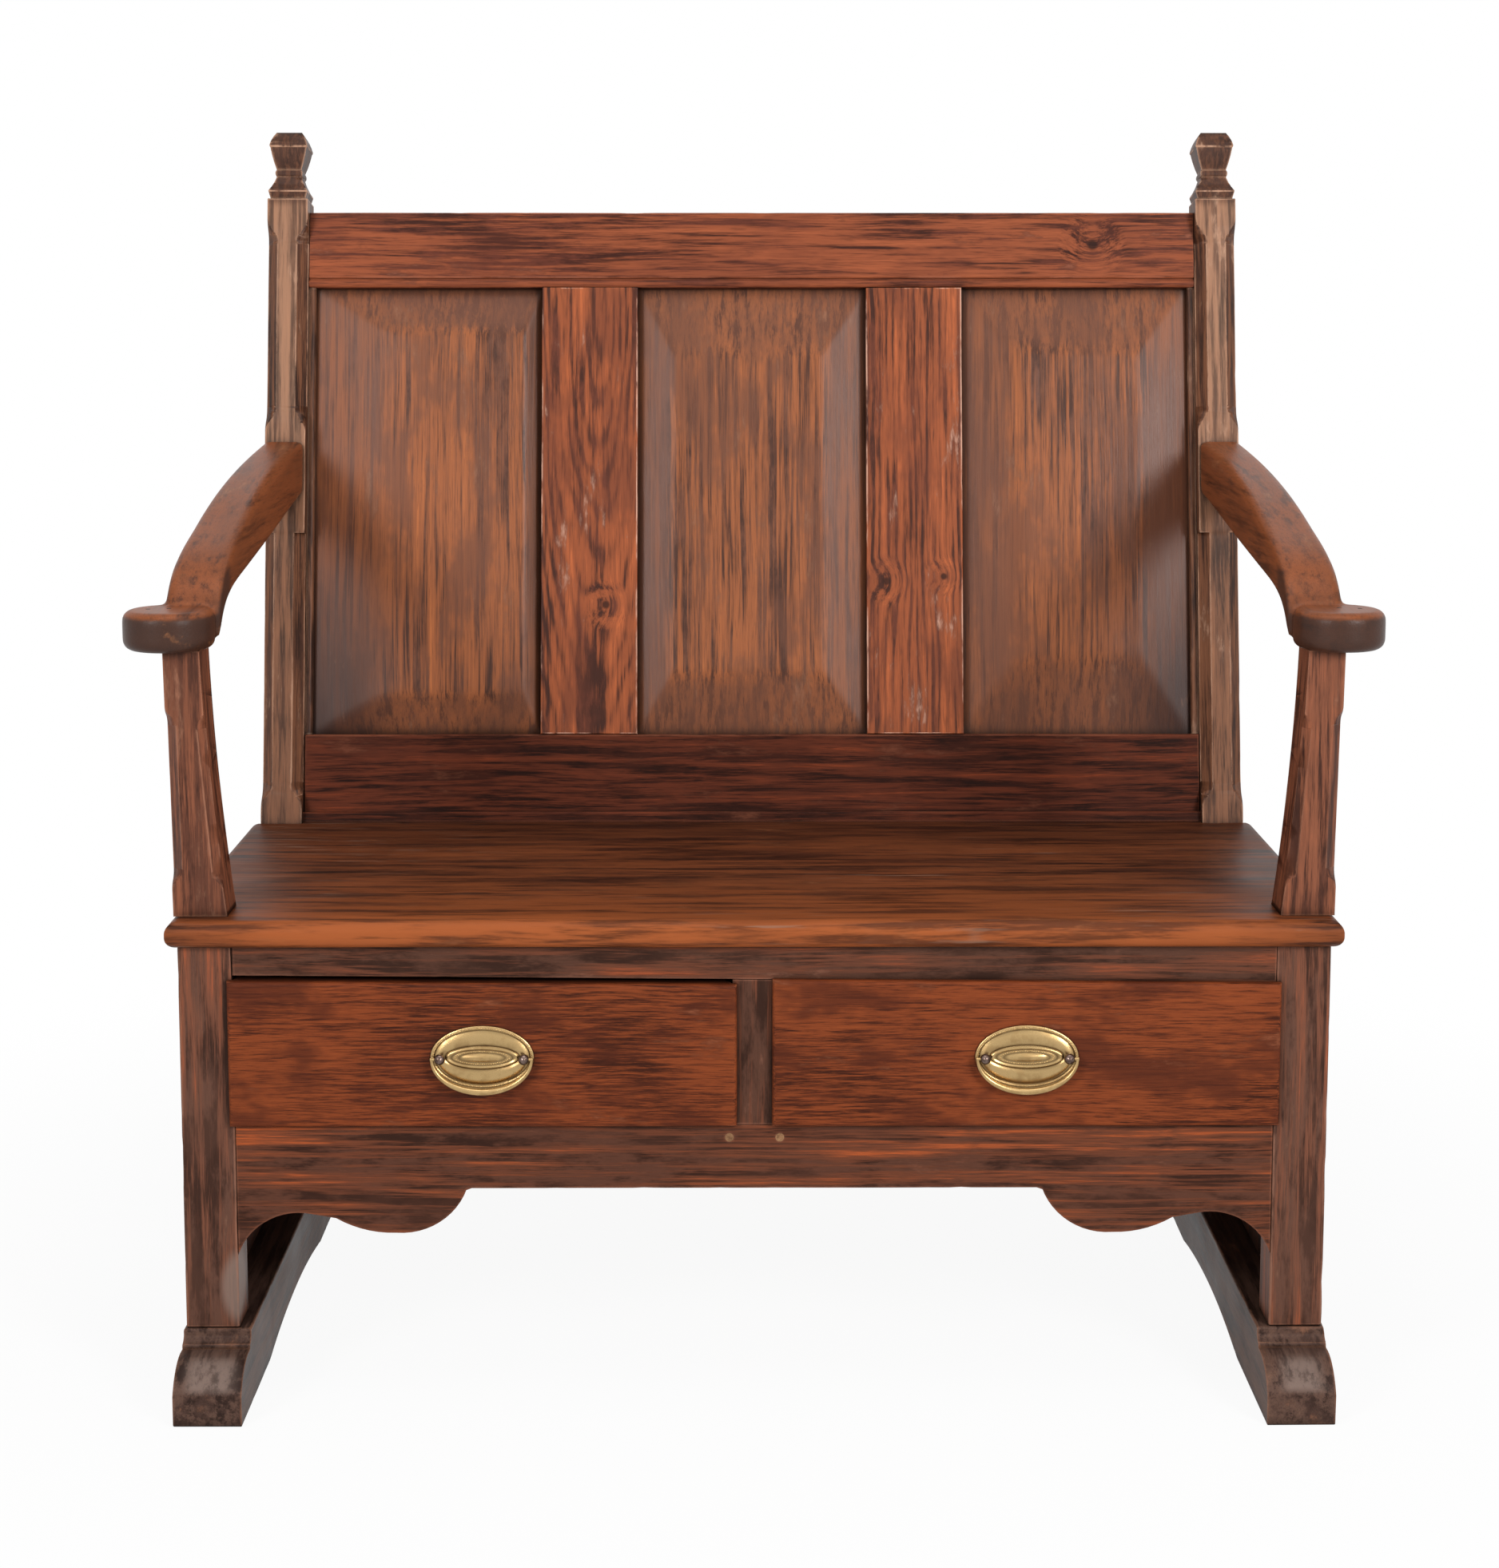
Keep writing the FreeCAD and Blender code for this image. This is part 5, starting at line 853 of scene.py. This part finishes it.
def dress():
    """Give every piece its finish, and set the worn and shaped pieces over the plain solids."""
    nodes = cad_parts
    finishes = {}
    for kind, grain, names in WOODEN:
        for name in names:
            low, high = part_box(name)
            offset, tilt = HEARTS.get(name, (Vector((0.012, 0.05, 0.015)), 0.0))
            heart = (low + high) / 2 + offset
            finishes[name] = wood(name, grain, dict(LOOKS[kind], tilt=tilt), heart, len(finishes) + 1,
                                  KNOTS.get(name, ()), WEAR_AND_SHADE.get(name))
            give(nodes[name], finishes[name])
    metal = {"brass": brass(), "iron": iron(), "dark": dark_brass()}
    for side in ("left", "right"):
        for part in ("backplate", "posts", "bail"):
            give(nodes[f"{side}_pull_{part}"], metal["brass"])
        give(nodes[f"{side}_pull_nuts"], metal["iron"])
    give(nodes["arm_nails"], metal["iron"])

    for name, run, slot, arris, nick in WORN:
        body = name[:-len("_front")] if slot == "drawer_wood" else "frame"
        shortest = SUPPORT_SHORTEST if name.startswith("arm_support") else SHORTEST
        aged(name, run, finishes[name], body, arris, nick, shortest)
    for name in PANELS:
        panel(name, finishes[f"back_panel_{name}"])
    for name in ("arm_left", "arm_right"):
        eased(name, finishes[name])
    tree = oval_row_tree()
    for side in ("left", "right"):
        pull(side, tree, metal)


ROOM_LIGHT = 0.26
FLOOR_REACH = 8.0
FLOOR_GREY = (0.86, 0.86, 0.86, 1)

# Name, place, width and height in metres, and power in watts
LAMPS = [
    ("lamp_left", (-2.1, -2.8, 1.8), 0.9, 1.2, 55),
    ("lamp_right", (2.1, -2.8, 1.8), 0.9, 1.2, 78),
    ("lamp_top", (0, -0.8, 3.2), 2.4, 1.6, 26),
]
LAMP_TARGET = Vector((0, 0, 0.55))

# The camera as it was fitted to the photo's edges
LENS = 61.93
LENS_SHIFT = -0.13
CAMERA_PLACE = (-0.0142, -2.6555, 1.0454)
CAMERA_DIP = 0.11826
CAMERA_TURN = -0.00402


def studio():
    """Pale floor, white surroundings, three large soft lamps and the camera."""
    scene = bpy.context.scene
    scene.view_settings.view_transform = "Standard"
    world = bpy.data.worlds.new("studio")
    scene.world = world
    world.use_nodes = True
    tree = world.node_tree
    tree.nodes.clear()
    path = tree.nodes.new("ShaderNodeLightPath")
    seen = tree.nodes.new("ShaderNodeMath")
    seen.operation = "MAXIMUM"
    tree.links.new(path.outputs["Is Camera Ray"], seen.inputs[0])
    either = tree.nodes.new("ShaderNodeMath")
    either.operation = "MAXIMUM"
    tree.links.new(path.outputs["Is Glossy Ray"], either.inputs[0])
    tree.links.new(path.outputs["Is Transmission Ray"], either.inputs[1])
    tree.links.new(either.outputs[0], seen.inputs[1])
    room = tree.nodes.new("ShaderNodeBackground")
    room.inputs[0].default_value = (1, 1, 1, 1)
    room.inputs[1].default_value = ROOM_LIGHT
    white = tree.nodes.new("ShaderNodeBackground")
    white.inputs[0].default_value = (1, 1, 1, 1)
    white.inputs[1].default_value = 1.0
    blend = tree.nodes.new("ShaderNodeMixShader")
    tree.links.new(seen.outputs[0], blend.inputs[0])
    tree.links.new(room.outputs[0], blend.inputs[1])
    tree.links.new(white.outputs[0], blend.inputs[2])
    out = tree.nodes.new("ShaderNodeOutputWorld")
    tree.links.new(blend.outputs[0], out.inputs[0])

    mesh = bpy.data.meshes.new("floor")
    reach = FLOOR_REACH
    corners = [(-reach, -reach, 0), (reach, -reach, 0), (reach, reach, 0), (-reach, reach, 0)]
    mesh.from_pydata(corners, [], [(0, 1, 2, 3)])
    floor = bpy.data.objects.new("floor", mesh)
    scene.collection.objects.link(floor)
    finish = Finish("floor_white")
    path = finish.node("LightPath").outputs
    seen = finish.sum("MAXIMUM", path["Is Camera Ray"],
                      finish.sum("MAXIMUM", path["Is Glossy Ray"], path["Is Transmission Ray"]))
    away = finish.vector("LENGTH", finish.place())
    share = finish.sum("MULTIPLY", seen, finish.spread(away, 0.5, 1.5, 0.93, 1.0))
    matt = finish.node("BsdfDiffuse", {"Color": FLOOR_GREY}).outputs[0]
    bright = finish.node("Emission", {"Strength": 1.0}).outputs[0]
    both = finish.node("MixShader", {0: share, 1: matt, 2: bright}).outputs[0]
    out = finish.node("OutputMaterial")
    finish.tree.links.new(both, out.inputs["Surface"])
    mesh.materials.append(finish.material)

    for name, spot, width, height, power in LAMPS:
        data = bpy.data.lights.new(name, "AREA")
        data.shape = "RECTANGLE"
        data.size = width
        data.size_y = height
        data.energy = power
        lamp = bpy.data.objects.new(name, data)
        lamp.location = spot
        lamp.rotation_mode = "QUATERNION"
        lamp.rotation_quaternion = (LAMP_TARGET - Vector(spot)).to_track_quat("-Z", "Y")
        scene.collection.objects.link(lamp)

    view = bpy.data.cameras.new("camera")
    view.lens = LENS
    view.sensor_width = 36
    view.shift_y = LENS_SHIFT
    camera = bpy.data.objects.new("camera", view)
    camera.location = CAMERA_PLACE
    camera.rotation_euler = (math.pi / 2 - CAMERA_DIP, 0, CAMERA_TURN)
    scene.collection.objects.link(camera)
    scene.camera = camera


dress()
studio()
